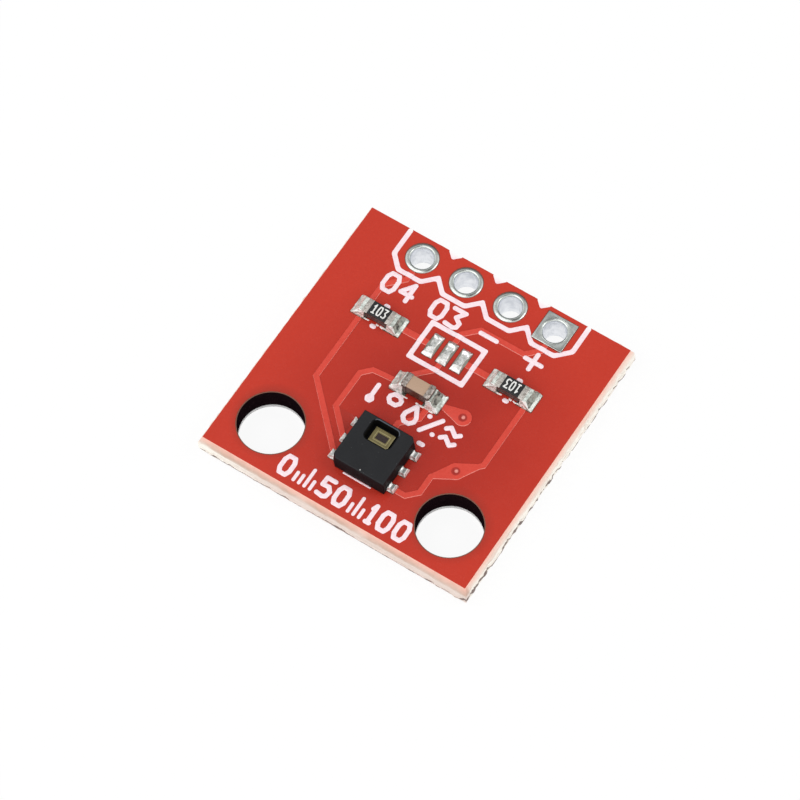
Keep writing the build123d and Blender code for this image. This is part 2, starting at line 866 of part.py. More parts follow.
with BuildPart() as sensor_body:
    with BuildSketch(Plane((sensor_x, sensor_y, chip_base))) as foot:
        Rectangle(sensor_size, sensor_size)
        corners = foot.vertices().sort_by(lambda corner: corner.X + corner.Y)
        chamfer([corners[0], corners[-1]], sensor_corner_chamfer)
    extrude(amount=sensor_foot_height)
    extrude(
        sensor_body.faces().sort_by(Axis.Z)[-1],
        amount=sensor_height - sensor_foot_height,
        taper=sensor_draft_angle,
    )
    chamfer(sensor_body.faces().sort_by(Axis.Z)[-1].edges(), sensor_top_edge)
    with BuildSketch(Plane((window_x, window_y, sensor_top))):
        RectangleRounded(sensor_window_width, sensor_window_depth, sensor_window_corner)
    extrude(amount=-sensor_window_recess, taper=sensor_window_draft, mode=Mode.SUBTRACT)
    add(sensor_leads.part, mode=Mode.SUBTRACT)
    add(sensor_paddle.part, mode=Mode.SUBTRACT)
sensor_body.part.label = "sensor_body"
export_step(sensor_body.part, "parts/sensor_body.step")

with BuildPart() as sensor_die:
    with BuildSketch(Plane((window_x, window_y, window_floor))):
        Rectangle(die_width, die_depth)
    extrude(amount=die_height)
sensor_die.part.label = "sensor_die"
export_step(sensor_die.part, "parts/sensor_die.step")

with BuildPart() as sensor_die_frame:
    with BuildSketch(Plane((window_x, window_y, window_floor + die_height))):
        Rectangle(die_width, die_depth)
        Rectangle(die_opening_width, die_opening_depth, mode=Mode.SUBTRACT)
    extrude(amount=die_frame_height)
sensor_die_frame.part.label = "sensor_die_frame"
export_step(sensor_die_frame.part, "parts/sensor_die_frame.step")

with BuildPart() as sensor_solder:
    for row in sensor_rows:
        y = sensor_y + row * sensor_lead_pitch
        inner = sensor_half - sensor_lead_length
        foot_length = sensor_lead_length + sensor_land_reach - solder_land_margin
        crest_length = sensor_lead_length + sensor_solder_shoulder
        with BuildSketch(Plane((sensor_x, y, land_top))):
            with Locations((inner + foot_length / 2, 0)):
                draw_block(foot_length, sensor_solder_width, solder_corner_cut)
        with BuildSketch(Plane((sensor_x, y, land_top + sensor_solder_height))):
            with Locations((inner + crest_length / 2, 0)):
                draw_block(crest_length, sensor_solder_crest_width, solder_corner_cut)
        loft(ruled=True)
    mirror(about=Plane.YZ.offset(sensor_x))
    with BuildSketch(Plane((sensor_x, sensor_y, chip_base))):
        Rectangle(sensor_size + 2 * sensor_lead_reach, sensor_size)
    extrude(amount=sensor_height, mode=Mode.SUBTRACT)
    with BuildSketch(Plane((sensor_x, sensor_y, land_top))):
        Rectangle(sensor_paddle_width - 2 * solder_land_margin, sensor_paddle_depth - 2 * solder_land_margin)
    extrude(amount=solder_film)
sensor_solder.part.label = "sensor_solder"
export_step(sensor_solder.part, "parts/sensor_solder.step")
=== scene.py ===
"""Looks of a temperature and humidity sensor module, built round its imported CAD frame."""

import json
import logging
import math
from dataclasses import dataclass
from enum import Enum
from typing import Callable, Sequence

import bpy
from mathutils import Matrix, Vector

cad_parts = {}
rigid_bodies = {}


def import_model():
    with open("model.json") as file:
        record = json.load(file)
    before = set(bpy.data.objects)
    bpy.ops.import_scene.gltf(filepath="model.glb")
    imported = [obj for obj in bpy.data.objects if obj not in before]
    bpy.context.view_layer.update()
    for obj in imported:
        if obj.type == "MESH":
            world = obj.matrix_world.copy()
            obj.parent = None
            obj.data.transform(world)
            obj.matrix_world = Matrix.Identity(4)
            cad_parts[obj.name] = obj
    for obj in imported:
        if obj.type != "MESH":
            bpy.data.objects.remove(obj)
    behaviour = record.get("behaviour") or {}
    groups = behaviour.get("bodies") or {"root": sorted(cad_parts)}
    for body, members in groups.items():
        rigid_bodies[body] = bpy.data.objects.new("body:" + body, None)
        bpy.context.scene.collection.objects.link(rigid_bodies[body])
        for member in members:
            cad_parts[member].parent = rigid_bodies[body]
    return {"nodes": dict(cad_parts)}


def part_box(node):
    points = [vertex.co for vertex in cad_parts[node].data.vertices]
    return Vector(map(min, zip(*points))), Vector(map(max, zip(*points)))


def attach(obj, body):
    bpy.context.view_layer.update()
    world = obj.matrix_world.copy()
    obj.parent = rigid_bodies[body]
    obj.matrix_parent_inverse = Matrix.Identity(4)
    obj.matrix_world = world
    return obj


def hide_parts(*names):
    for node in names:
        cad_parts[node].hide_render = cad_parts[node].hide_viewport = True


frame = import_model()

LOG = logging.getLogger("sensor_module")
MM = 0.001
CLOSE = 0.001  # two places nearer than this are one place, in millimetres
ROOT = "root"
Point = tuple[float, float]
Colour = tuple[float, float, float]
Socket = bpy.types.NodeSocket


def linear(red: int, green: int, blue: int) -> Colour:
    """Turns an 8-bit display colour into the linear values that shaders take.

    Args:
        red: red, 0 to 255.
        green: green, 0 to 255.
        blue: blue, 0 to 255.

    Returns:
        The three linear values, 0 to 1.
    """
    values = [
        part / 255 / 12.92 if part < 11 else ((part / 255 + 0.055) / 1.055) ** 2.4
        for part in (red, green, blue)
    ]
    return (values[0], values[1], values[2])


def metres(values: Sequence[float]) -> list[float]:
    """Turns millimetres into metres."""
    return [value * MM for value in values]


class Kind(Enum):
    """What a selection in edit mode is made of."""

    VERTS = (True, False, False)
    EDGES = (False, True, False)
    FACES = (False, False, True)


class Shaper:
    """One mesh object, shaped by hand with Blender's own operators."""

    def __init__(self, obj: bpy.types.Object, name: str) -> None:
        """Takes over an object that has just been added."""
        self.obj = obj
        obj.name = name
        obj.data.name = name
        self.freeze()

    @staticmethod
    def clear() -> None:
        """Leaves nothing selected, so that an operator reaches only what is picked next."""
        for other in bpy.context.view_layer.objects:
            other.select_set(False)

    @classmethod
    def add(
        cls, name: str, primitive: Callable[..., object], centre: Sequence[float], **settings: object
    ) -> "Shaper":
        """Adds a primitive to shape.

        Args:
            name: the piece's name.
            primitive: the operator that adds it.
            centre: its middle in millimetres.
            settings: the operator's settings.

        Returns:
            The new shaper.
        """
        cls.clear()
        primitive(location=metres(centre), **settings)
        return cls(bpy.context.active_object, name)

    @classmethod
    def box(cls, name: str, centre: Sequence[float], size: Sequence[float]) -> "Shaper":
        """Adds a box, its middle and sides given in millimetres."""
        return cls.add(name, bpy.ops.mesh.primitive_cube_add, centre, size=1.0, scale=metres(size))

    @classmethod
    def rod(
        cls, name: str, centre: Sequence[float], radius: float, length: float, sides: int
    ) -> "Shaper":
        """Adds an upright rod to cut a hole with.

        Args:
            name: the piece's name.
            centre: its middle in millimetres.
            radius: its radius in millimetres.
            length: its length along Z in millimetres.
            sides: how many corners its rim has.

        Returns:
            The new shaper.
        """
        rod = bpy.ops.mesh.primitive_cylinder_add
        return cls.add(name, rod, centre, vertices=sides, radius=radius * MM, depth=length * MM)

    @classmethod
    def turned(cls, name: str, centre: Point, profile: Sequence[Point], sides: int) -> "Shaper":
        """Turns a closed profile round an upright axis, ring by ring.

        Args:
            name: the piece's name.
            centre: the axis's place in millimetres.
            profile: radius and height of each ring in millimetres.
            sides: how many corners each ring has.

        Returns:
            The new shaper.
        """
        ring = bpy.ops.mesh.primitive_circle_add
        piece = cls.add(name, ring, (*centre, profile[0][1]), vertices=sides, radius=profile[0][0] * MM)

        def pick_rings(*rings: Point) -> None:
            """Selects the edges of rings of a radius and a height."""

            def on_ring(place: Vector) -> bool:
                """Tells whether a corner is on one of them."""
                reach = math.hypot(place.x - centre[0], place.y - centre[1])
                return any(
                    abs(place.z - height) < CLOSE / 2 and abs(reach - radius) < CLOSE / 2
                    for radius, height in rings
                )

            piece.pick(Kind.EDGES, lambda a, b: on_ring(a) and on_ring(b))

        for (radius, height), (next_radius, next_height) in zip(profile, profile[1:]):
            pick_rings((radius, height))
            piece.extrude(0.0, 0.0, next_height - height)
            factor = next_radius / radius
            piece.resize((*centre, next_height), factor, factor, 1.0)
        pick_rings(profile[0], profile[-1])
        piece.run(bpy.ops.mesh.bridge_edge_loops)
        return piece.outward()

    @classmethod
    def copy_of(cls, node: str, name: str) -> "Shaper":
        """Copies a CAD node's mesh, merges its loose triangles and clears its flat faces of extra edges.

        Args:
            node: the CAD node.
            name: the piece's name.

        Returns:
            The new shaper.
        """
        cls.clear()
        source = frame["nodes"][node]
        obj = bpy.data.objects.new(name, source.data.copy())
        bpy.context.scene.collection.objects.link(obj)
        obj.data.materials.clear()
        shaper = cls(obj, name)
        shaper.pick(Kind.VERTS)
        shaper.run(bpy.ops.mesh.remove_doubles, threshold=0.0000005)
        shaper.pick(Kind.FACES)
        shaper.run(bpy.ops.mesh.dissolve_limited, angle_limit=math.radians(1.0))
        return shaper

    def activate(self) -> None:
        """Makes this object the only selected one and the active one."""
        self.clear()
        self.obj.select_set(True)
        bpy.context.view_layer.objects.active = self.obj

    def freeze(self) -> None:
        """Puts the object's place, turn and size into its mesh."""
        self.activate()
        bpy.ops.object.transform_apply(location=True, rotation=True, scale=True)

    def pick(self, kind: Kind, test: Callable[..., bool] | None = None) -> int:
        """Selects corners, edges or faces by a test of their place.

        Args:
            kind: what is selected.
            test: for corners, a test of the place; for edges, of both ends; for faces, of centre and
                normal. All places are in millimetres. Without it, everything is selected.

        Returns:
            How many were selected.
        """
        mesh = self.obj.data
        for items in (mesh.vertices, mesh.edges, mesh.polygons):
            items.foreach_set("select", [False] * len(items))
        places = [vertex.co / MM for vertex in mesh.vertices]
        if kind is Kind.VERTS:
            chosen = [v for v in mesh.vertices if test is None or test(places[v.index])]
        elif kind is Kind.EDGES:
            chosen = [e for e in mesh.edges if test is None or test(*(places[end] for end in e.vertices))]
        else:
            chosen = [f for f in mesh.polygons if test is None or test(f.center / MM, f.normal)]
        for item in chosen:
            item.select = True
            if kind is not Kind.VERTS:
                for corner in item.vertices:
                    mesh.vertices[corner].select = True
        bpy.context.tool_settings.mesh_select_mode = kind.value
        return len(chosen)

    def pick_level(self, level: float) -> int:
        """Selects the edges that lie at a height in millimetres."""
        return self.pick(Kind.EDGES, lambda a, b: abs(a.z - level) < CLOSE and abs(b.z - level) < CLOSE)

    def pick_turns(self, foot: float, angle: float) -> int:
        """Selects the upright edges that stand on a level and where the walls turn.

        Args:
            foot: the level in millimetres.
            angle: the least turn in degrees.

        Returns:
            How many were selected.
        """
        mesh = self.obj.data
        walls: dict[tuple[int, int], list[Vector]] = {}
        for face in mesh.polygons:
            if abs(face.normal.z) < 0.3:
                for key in face.edge_keys:
                    walls.setdefault(key, []).append(face.normal)
        turns = [
            mesh.vertices[first].co / MM
            for (first, _), sides in walls.items()
            if len(sides) == 2 and math.degrees(sides[0].angle(sides[1])) > angle
        ]

        def above(one: Vector, other: Vector) -> bool:
            """Tells whether one place is over or under the other."""
            return math.hypot(one.x - other.x, one.y - other.y) < 2 * CLOSE

        def at_turn(first: Vector, second: Vector) -> bool:
            """Tells whether an edge stands on the level at a turn of the wall."""
            low, high = sorted((first.z, second.z))
            on_foot = abs(low - foot) < CLOSE and high - low > 10 * CLOSE
            return on_foot and above(first, second) and any(above(first, turn) for turn in turns)

        return self.pick(Kind.EDGES, at_turn)

    def run(self, operator: Callable[..., object], **settings: object) -> "Shaper":
        """Runs an edit-mode operator on what is selected.

        Args:
            operator: the operator.
            settings: its settings.

        Returns:
            The shaper itself.
        """
        self.activate()
        bpy.ops.object.mode_set(mode="EDIT")
        operator(**settings)
        bpy.ops.object.mode_set(mode="OBJECT")
        return self

    def move(self, x: float, y: float, z: float) -> "Shaper":
        """Moves what is selected, in millimetres."""
        return self.run(bpy.ops.transform.translate, value=metres((x, y, z)))

    def resize(self, about: Sequence[float], x: float, y: float, z: float) -> "Shaper":
        """Resizes what is selected about a point in millimetres."""
        return self.run(bpy.ops.transform.resize, value=(x, y, z), center_override=metres(about))

    def extrude(self, x: float, y: float, z: float) -> "Shaper":
        """Extrudes what is selected, in millimetres."""
        way = {"value": metres((x, y, z))}
        return self.run(bpy.ops.mesh.extrude_region_move, TRANSFORM_OT_translate=way)

    def inset(self, thickness: float, depth: float = 0.0) -> "Shaper":
        """Insets the selected faces and lifts them, in millimetres."""
        return self.run(bpy.ops.mesh.inset, thickness=thickness * MM, depth=depth * MM)

    def bevel(self, width: float, segments: int, clamp: bool = True, **settings: object) -> "Shaper":
        """Rounds the selected edges.

        Args:
            width: how wide the rounding is, in millimetres.
            segments: how many faces it has.
            clamp: whether it stops where roundings would meet.
            settings: the operator's other settings.

        Returns:
            The shaper itself.
        """
        settings.update(offset=width * MM, segments=segments, affect="EDGES", clamp_overlap=clamp)
        return self.run(bpy.ops.mesh.bevel, **settings)

    def bisect(self, place: Sequence[float], normal: Sequence[float]) -> "Shaper":
        """Cuts an edge loop through the whole piece along a plane."""
        self.pick(Kind.FACES)
        return self.run(bpy.ops.mesh.bisect, plane_co=metres(place), plane_no=list(normal))

    def outward(self) -> "Shaper":
        """Points every face outwards."""
        self.pick(Kind.FACES)
        return self.run(bpy.ops.mesh.normals_make_consistent)

    def modify(self, kind: str, **settings: object) -> "Shaper":
        """Adds a modifier and applies it.

        Args:
            kind: the modifier's type.
            settings: its settings.

        Returns:
            The shaper itself.
        """
        self.activate()
        modifier = self.obj.modifiers.new(kind.lower(), kind)
        for key, value in settings.items():
            setattr(modifier, key, value)
        bpy.ops.object.modifier_apply(modifier=modifier.name)
        return self

    def round_all(self, width: float, angle: float) -> "Shaper":
        """Rounds every edge that is sharper than an angle in degrees, by a width in millimetres."""
        limit = math.radians(angle)
        return self.modify("BEVEL", width=width * MM, segments=3, limit_method="ANGLE", angle_limit=limit)

    def roughen(self, size: float, depth: float, group: str = "", middle: float = 0.5) -> "Shaper":
        """Displaces the surface by a fixed noise.

        Args:
            size: the noise's feature size in millimetres.
            depth: how far the surface moves along its normals, in millimetres.
            group: the vertex group that it is limited to.
            middle: the noise value that leaves the surface where it is.

        Returns:
            The shaper itself.
        """
        texture = bpy.data.textures.new(f"{self.obj.name}_noise", "CLOUDS")
        texture.noise_scale = size * MM
        return self.modify(
            "DISPLACE",
            texture=texture,
            texture_coords="LOCAL",
            strength=depth * MM,
            mid_level=middle,
            vertex_group=group,
        )

    def cut(self, cutter: "Shaper") -> "Shaper":
        """Takes another piece's shape out of this one, and deletes the other piece."""
        self.modify("BOOLEAN", operation="DIFFERENCE", solver="EXACT", object=cutter.obj)
        bpy.data.objects.remove(cutter.obj)
        return self

    def smooth(self, angle: float) -> "Shaper":
        """Shades the piece smooth, apart from edges sharper than an angle in degrees."""
        self.activate()
        bpy.ops.object.shade_smooth_by_angle(angle=math.radians(angle))
        return self

    def even_normals(self) -> "Shaper":
        """Weights the normals by face area, so that broad flat faces stay flat beside small roundings."""
        return self.modify("WEIGHTED_NORMAL", keep_sharp=True, weight=80)

    def enlarge(self, factor: float) -> "Shaper":
        """Resizes the whole mesh about the origin."""
        self.pick(Kind.VERTS)
        return self.resize((0.0, 0.0, 0.0), factor, factor, factor)

    def melt(self, grain: float, rounds: int) -> "Shaper":
        """Remeshes the piece evenly and rounds it, as solder flows.

        The work is done a thousand times enlarged, because the remesher takes no grain this fine.

        Args:
            grain: the mesh's grain in millimetres.
            rounds: how often the surface is smoothed.

        Returns:
            The shaper itself.
        """
        self.enlarge(1 / MM)
        self.modify("REMESH", mode="VOXEL", voxel_size=grain)
        self.modify("SMOOTH", factor=0.5, iterations=rounds)
        return self.enlarge(MM)

    def absorb(self, others: Sequence["Shaper"]) -> "Shaper":
        """Joins other pieces into this one."""
        self.activate()
        for other in others:
            other.obj.select_set(True)
        bpy.context.view_layer.objects.active = self.obj
        bpy.ops.object.join()
        return self

    def dress(self, *materials: bpy.types.Material) -> "Shaper":
        """Gives the piece its materials, in slot order."""
        self.obj.data.materials.clear()
        for material in materials:
            self.obj.data.materials.append(material)
        return self

    def paint(self, number: int, test: Callable[[Vector, Vector], bool]) -> "Shaper":
        """Gives faces another of the piece's materials.

        Args:
            number: the material's place in slot order.
            test: a test of a face's centre in millimetres and its normal.

        Returns:
            The shaper itself.
        """
        for face in self.obj.data.polygons:
            if test(face.center / MM, face.normal):
                face.material_index = number
        return self

    def settle(self, slot: str, *nodes: str) -> None:
        """Hands the finished piece to the frame and reports it.

        Args:
            slot: the record's material slot; it is not used.
            nodes: the CAD nodes that it stands for.
        """
        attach(self.obj, ROOT)
        if nodes:
            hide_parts(*nodes)
        heights = [vertex.co.z / MM for vertex in self.obj.data.vertices]
        faces = len(self.obj.data.polygons)
        LOG.info("%s: %d faces, z %.4f to %.4f mm", self.obj.name, faces, min(heights), max(heights))


def join(name: str, pieces: Sequence[Shaper]) -> Shaper:
    """Joins pieces into one that has a name of its own."""
    pieces[0].obj.name = name
    return pieces[0].absorb(pieces[1:])


class NodeGraph:
    """A material's node tree, with short names for the nodes that the finishes share."""

    def __init__(self, name: str) -> None:
        """Starts a material with one Principled shader."""
        self.material = bpy.data.materials.new(name)
        self.material.use_nodes = True
        self.nodes = self.material.node_tree.nodes
        self.links = self.material.node_tree.links
        self.shader = self.nodes["Principled BSDF"]
        self.place = self.nodes.new("ShaderNodeTexCoord").outputs["Object"]

    def set(self, **values: object) -> None:
        """Sets the shader's own sockets, such as Roughness."""
        for key, value in values.items():
            self.shader.inputs[key.replace("_", " ")].default_value = value

    def plug(self, output: Socket, name: str) -> None:
        """Links an output to one of the shader's sockets."""
        self.links.new(output, self.shader.inputs[name])

    def stretch(self, x: float, y: float, z: float, centre: Sequence[float] = (0, 0, 0)) -> Socket:
        """Object coordinates, stretched on each axis and centred on a point.

        Args:
            x: factor along X.
            y: factor along Y.
            z: factor along Z.
            centre: the point that becomes the origin, in millimetres.

        Returns:
            The vector output.
        """
        node = self.nodes.new("ShaderNodeMapping")
        self.links.new(self.place, node.inputs["Vector"])
        factors = (x, y, z)
        node.inputs["Scale"].default_value = factors
        node.inputs["Location"].default_value = [-c * MM * f for c, f in zip(centre, factors)]
        return node.outputs["Vector"]

    def noise(
        self,
        size: float,
        detail: float = 3.0,
        roughness: float = 0.5,
        vector: Socket | None = None,
        distortion: float = 0.0,
    ) -> Socket:
        """A noise pattern.

        Args:
            size: its feature size in millimetres.
            detail: how many finer layers it has.
            roughness: how strong the finer layers are.
            vector: the coordinates it reads, or the object's own.
            distortion: how much it is swirled.

        Returns:
            The value output, about 0 to 1.
        """
        node = self.nodes.new("ShaderNodeTexNoise")
        self.links.new(vector or self.place, node.inputs["Vector"])
        node.inputs["Scale"].default_value = 1.0 / (size * MM)
        node.inputs["Detail"].default_value = detail
        node.inputs["Roughness"].default_value = roughness
        node.inputs["Distortion"].default_value = distortion
        return node.outputs["Fac"]

    def cells(self, size: float) -> Socket:
        """A cell pattern's distance output, for specks of a size in millimetres."""
        node = self.nodes.new("ShaderNodeTexVoronoi")
        self.links.new(self.place, node.inputs["Vector"])
        node.inputs["Scale"].default_value = 1.0 / (size * MM)
        return node.outputs["Distance"]

    def spot(self, centre: Sequence[float], reach: float) -> Socket:
        """A value that is 1 at a point and falls to 0 at a distance, both in millimetres."""
        factor = 1.0 / (reach * MM)
        node = self.nodes.new("ShaderNodeTexGradient")
        node.gradient_type = "SPHERICAL"
        self.links.new(self.stretch(factor, factor, factor, centre), node.inputs["Vector"])
        return node.outputs["Fac"]

    def remap(self, value: Socket, low: float, high: float, start: float, end: float) -> Socket:
        """Maps one range of a value onto another, and holds it at the ends.

        Args:
            value: the value output.
            low: where the range begins.
            high: where it ends.
            start: what it begins with afterwards.
            end: what it ends with afterwards.

        Returns:
            The value output.
        """
        node = self.nodes.new("ShaderNodeMapRange")
        for name, number in (("From Min", low), ("From Max", high), ("To Min", start), ("To Max", end)):
            node.inputs[name].default_value = number
        self.links.new(value, node.inputs["Value"])
        return node.outputs["Result"]

    def rise(
        self, low: float, high: float, start: float = 0.0, end: float = 1.0, axis: str = "Z"
    ) -> Socket:
        """A value that changes between two places along an axis.

        Args:
            low: the first place in millimetres.
            high: the second place in millimetres.
            start: the value up to the first place.
            end: the value from the second place on.
            axis: the axis.

        Returns:
            The value output.
        """
        node = self.nodes.new("ShaderNodeSeparateXYZ")
        self.links.new(self.place, node.inputs["Vector"])
        return self.remap(node.outputs[axis], low * MM, high * MM, start, end)

    def maths(self, operation: str, first: Socket, *others: Socket | float) -> Socket:
        """Joins values with maths nodes, from left to right.

        Args:
            operation: what the nodes do.
            first: the first value.
            others: the values that it is joined with.

        Returns:
            The value output.
        """
        for other in others:
            node = self.nodes.new("ShaderNodeMath")
            node.operation = operation
            self.links.new(first, node.inputs[0])
            if isinstance(other, float):
                node.inputs[1].default_value = other
            else:
                self.links.new(other, node.inputs[1])
            first = node.outputs["Value"]
        return first

    def mix(self, share: Socket, first: Socket | Colour, second: Socket | Colour) -> Socket:
        """Mixes two colours.

        Args:
            share: how much of the second there is.
            first: the first colour.
            second: the second colour.

        Returns:
            The colour output.
        """
        node = self.nodes.new("ShaderNodeMix")
        node.data_type = "RGBA"
        self.links.new(share, node.inputs["Factor"])
        for name, colour in (("A", first), ("B", second)):
            socket = next(s for s in node.inputs if s.name == name and s.type == "RGBA")
            if isinstance(colour, tuple):
                socket.default_value = (*colour, 1.0)
            else:
                self.links.new(colour, socket)
        return next(s for s in node.outputs if s.type == "RGBA")

    def tint(
        self, first: Socket | Colour, second: Colour, value: Socket, low: float, high: float, most: float
    ) -> Socket:
        """Mixes a second colour in as a value grows.

        Args:
            first: the colour so far.
            second: the colour that is mixed in.
            value: the value output.
            low: the value at which it begins.
            high: the value at which it is complete.
            most: how much of the second colour there is then.

        Returns:
            The colour output.
        """
        return self.mix(self.remap(value, low, high, 0.0, most), first, second)

    def coat(self, colour: Socket, relief: Socket, depth: float, **values: float) -> None:
        """Gives the shader what every finish has.

        Args:
            colour: the colour output.
            relief: the height output, about 0 to 1.
            depth: how deep 1 is, in millimetres.
            values: the sockets that are the same all over, such as Roughness.
        """
        self.plug(colour, "Base Color")
        node = self.nodes.new("ShaderNodeBump")
        node.inputs["Strength"].default_value = 1.0
        node.inputs["Distance"].default_value = depth * MM
        self.links.new(relief, node.inputs["Height"])
        self.plug(node.outputs["Normal"], "Normal")
        self.set(**values)


@dataclass(frozen=True)
class Coating:
    """What all the finishes are: colours and sizes from which a material is made."""

    def build(self, name: str) -> bpy.types.Material:
        """Makes the material.

        Args:
            name: the material's name.

        Returns:
            The material.
        """
        graph = NodeGraph(name)
        self.lay(graph)
        return graph.material

    def lay(self, graph: NodeGraph) -> None:
        """Lays the finish's own nodes."""
        raise NotImplementedError


@dataclass(frozen=True)
class SolderMask(Coating):
    """Satin solder mask, lighter where copper lies under it, with a painted reflection that leaves its middle
    darker, painted shade in the vias' dimples with a painted highlight, and painted shade round the holes.
    """

    sheet: Colour = linear(199, 57, 39)
    middle: Colour = linear(170, 43, 31)
    over_copper: Colour = linear(222, 78, 64)
    dimple_shade: Colour = linear(150, 38, 34)
    via_highlight: Colour = linear(246, 168, 156)
    hole_shade: Colour = linear(142, 50, 38)
    cloud: Colour = linear(206, 60, 44)
    mottle: Colour = linear(180, 38, 26)
    roughness: float = 0.24
    sheet_level: float = 1.6
    copper_level: float = 1.635
    middle_place: Point = (1.0, -1.2)
    middle_reach: float = 9.0
    dimple_shade_reach: float = 0.27
    via_highlight_reach: float = 0.12
    hole_shade_reach: float = 2.2
    vias: tuple[Point, ...] = ((2.55, 0.04), (3.8, -2.54))
    holes: tuple[Point, ...] = ((-5.08, -5.0), (5.08, -5.0))

    def lay(self, graph: NodeGraph) -> None:
        """Lays the sheet with its painted reflection, the copper under it, the painted shade and highlight of
        the vias, the painted shade by the holes and the mottling.
        """
        # painted reflection: the sheet is lighter towards its edges and darker in the middle, as the lamp's
        # reflection fades
        inner = graph.spot((*self.middle_place, self.sheet_level), self.middle_reach)
        colour = graph.tint(self.sheet, self.middle, inner, 0.1, 0.75, 1.0)
        raised = graph.rise(self.sheet_level + 0.004, self.copper_level - 0.006)
        colour = graph.mix(raised, colour, self.over_copper)
        # painted shade in each via's dimple, and a painted highlight beside its middle
        for x, y in self.vias:
            ring = graph.spot((x, y, self.copper_level), self.dimple_shade_reach)
            colour = graph.tint(colour, self.dimple_shade, ring, 0.1, 0.3, 0.85)
            via_highlight = graph.spot((x + 0.02, y + 0.02, self.copper_level), self.via_highlight_reach)
            colour = graph.tint(colour, self.via_highlight, via_highlight, 0.1, 0.45, 0.9)
        # painted shade on the mask round each mounting hole
        for x, y in self.holes:
            hole_shade = graph.spot((x, y, self.sheet_level), self.hole_shade_reach)
            colour = graph.tint(colour, self.hole_shade, hole_shade, 0.04, 0.25, 0.5)
        colour = graph.tint(colour, self.cloud, graph.noise(2.2, 2.0), 0.3, 0.7, 0.2)
        colour = graph.tint(colour, self.mottle, graph.noise(0.16, 4.0, 0.6), 0.35, 0.7, 0.22)
        gloss = graph.noise(0.5, 3.0)
        graph.plug(graph.remap(gloss, 0.3, 0.7, self.roughness - 0.05, self.roughness + 0.07), "Roughness")
        graph.coat(colour, graph.noise(0.12, 3.0, 0.55), 0.002, Specular_IOR_Level=0.28)


@dataclass(frozen=True)
class UndersideMask(Coating):
    """The same mask seen from below, where copper stands nearer the viewer."""

    sheet: Colour = linear(176, 44, 36)
    over_copper: Colour = linear(204, 62, 52)
    mottle: Colour = linear(160, 38, 32)
    copper_level: float = 0.004
    sheet_level: float = 0.03

    def lay(self, graph: NodeGraph) -> None:
        """Lays the sheet, the copper under it and the mottling."""
        raised = graph.rise(self.copper_level, self.sheet_level, 1.0, 0.0)
        colour = graph.mix(raised, self.sheet, self.over_copper)
        colour = graph.tint(colour, self.mottle, graph.noise(0.3, 4.0, 0.6), 0.35, 0.7, 0.25)
        graph.coat(colour, graph.noise(0.14, 3.0), 0.0025, Roughness=0.36)


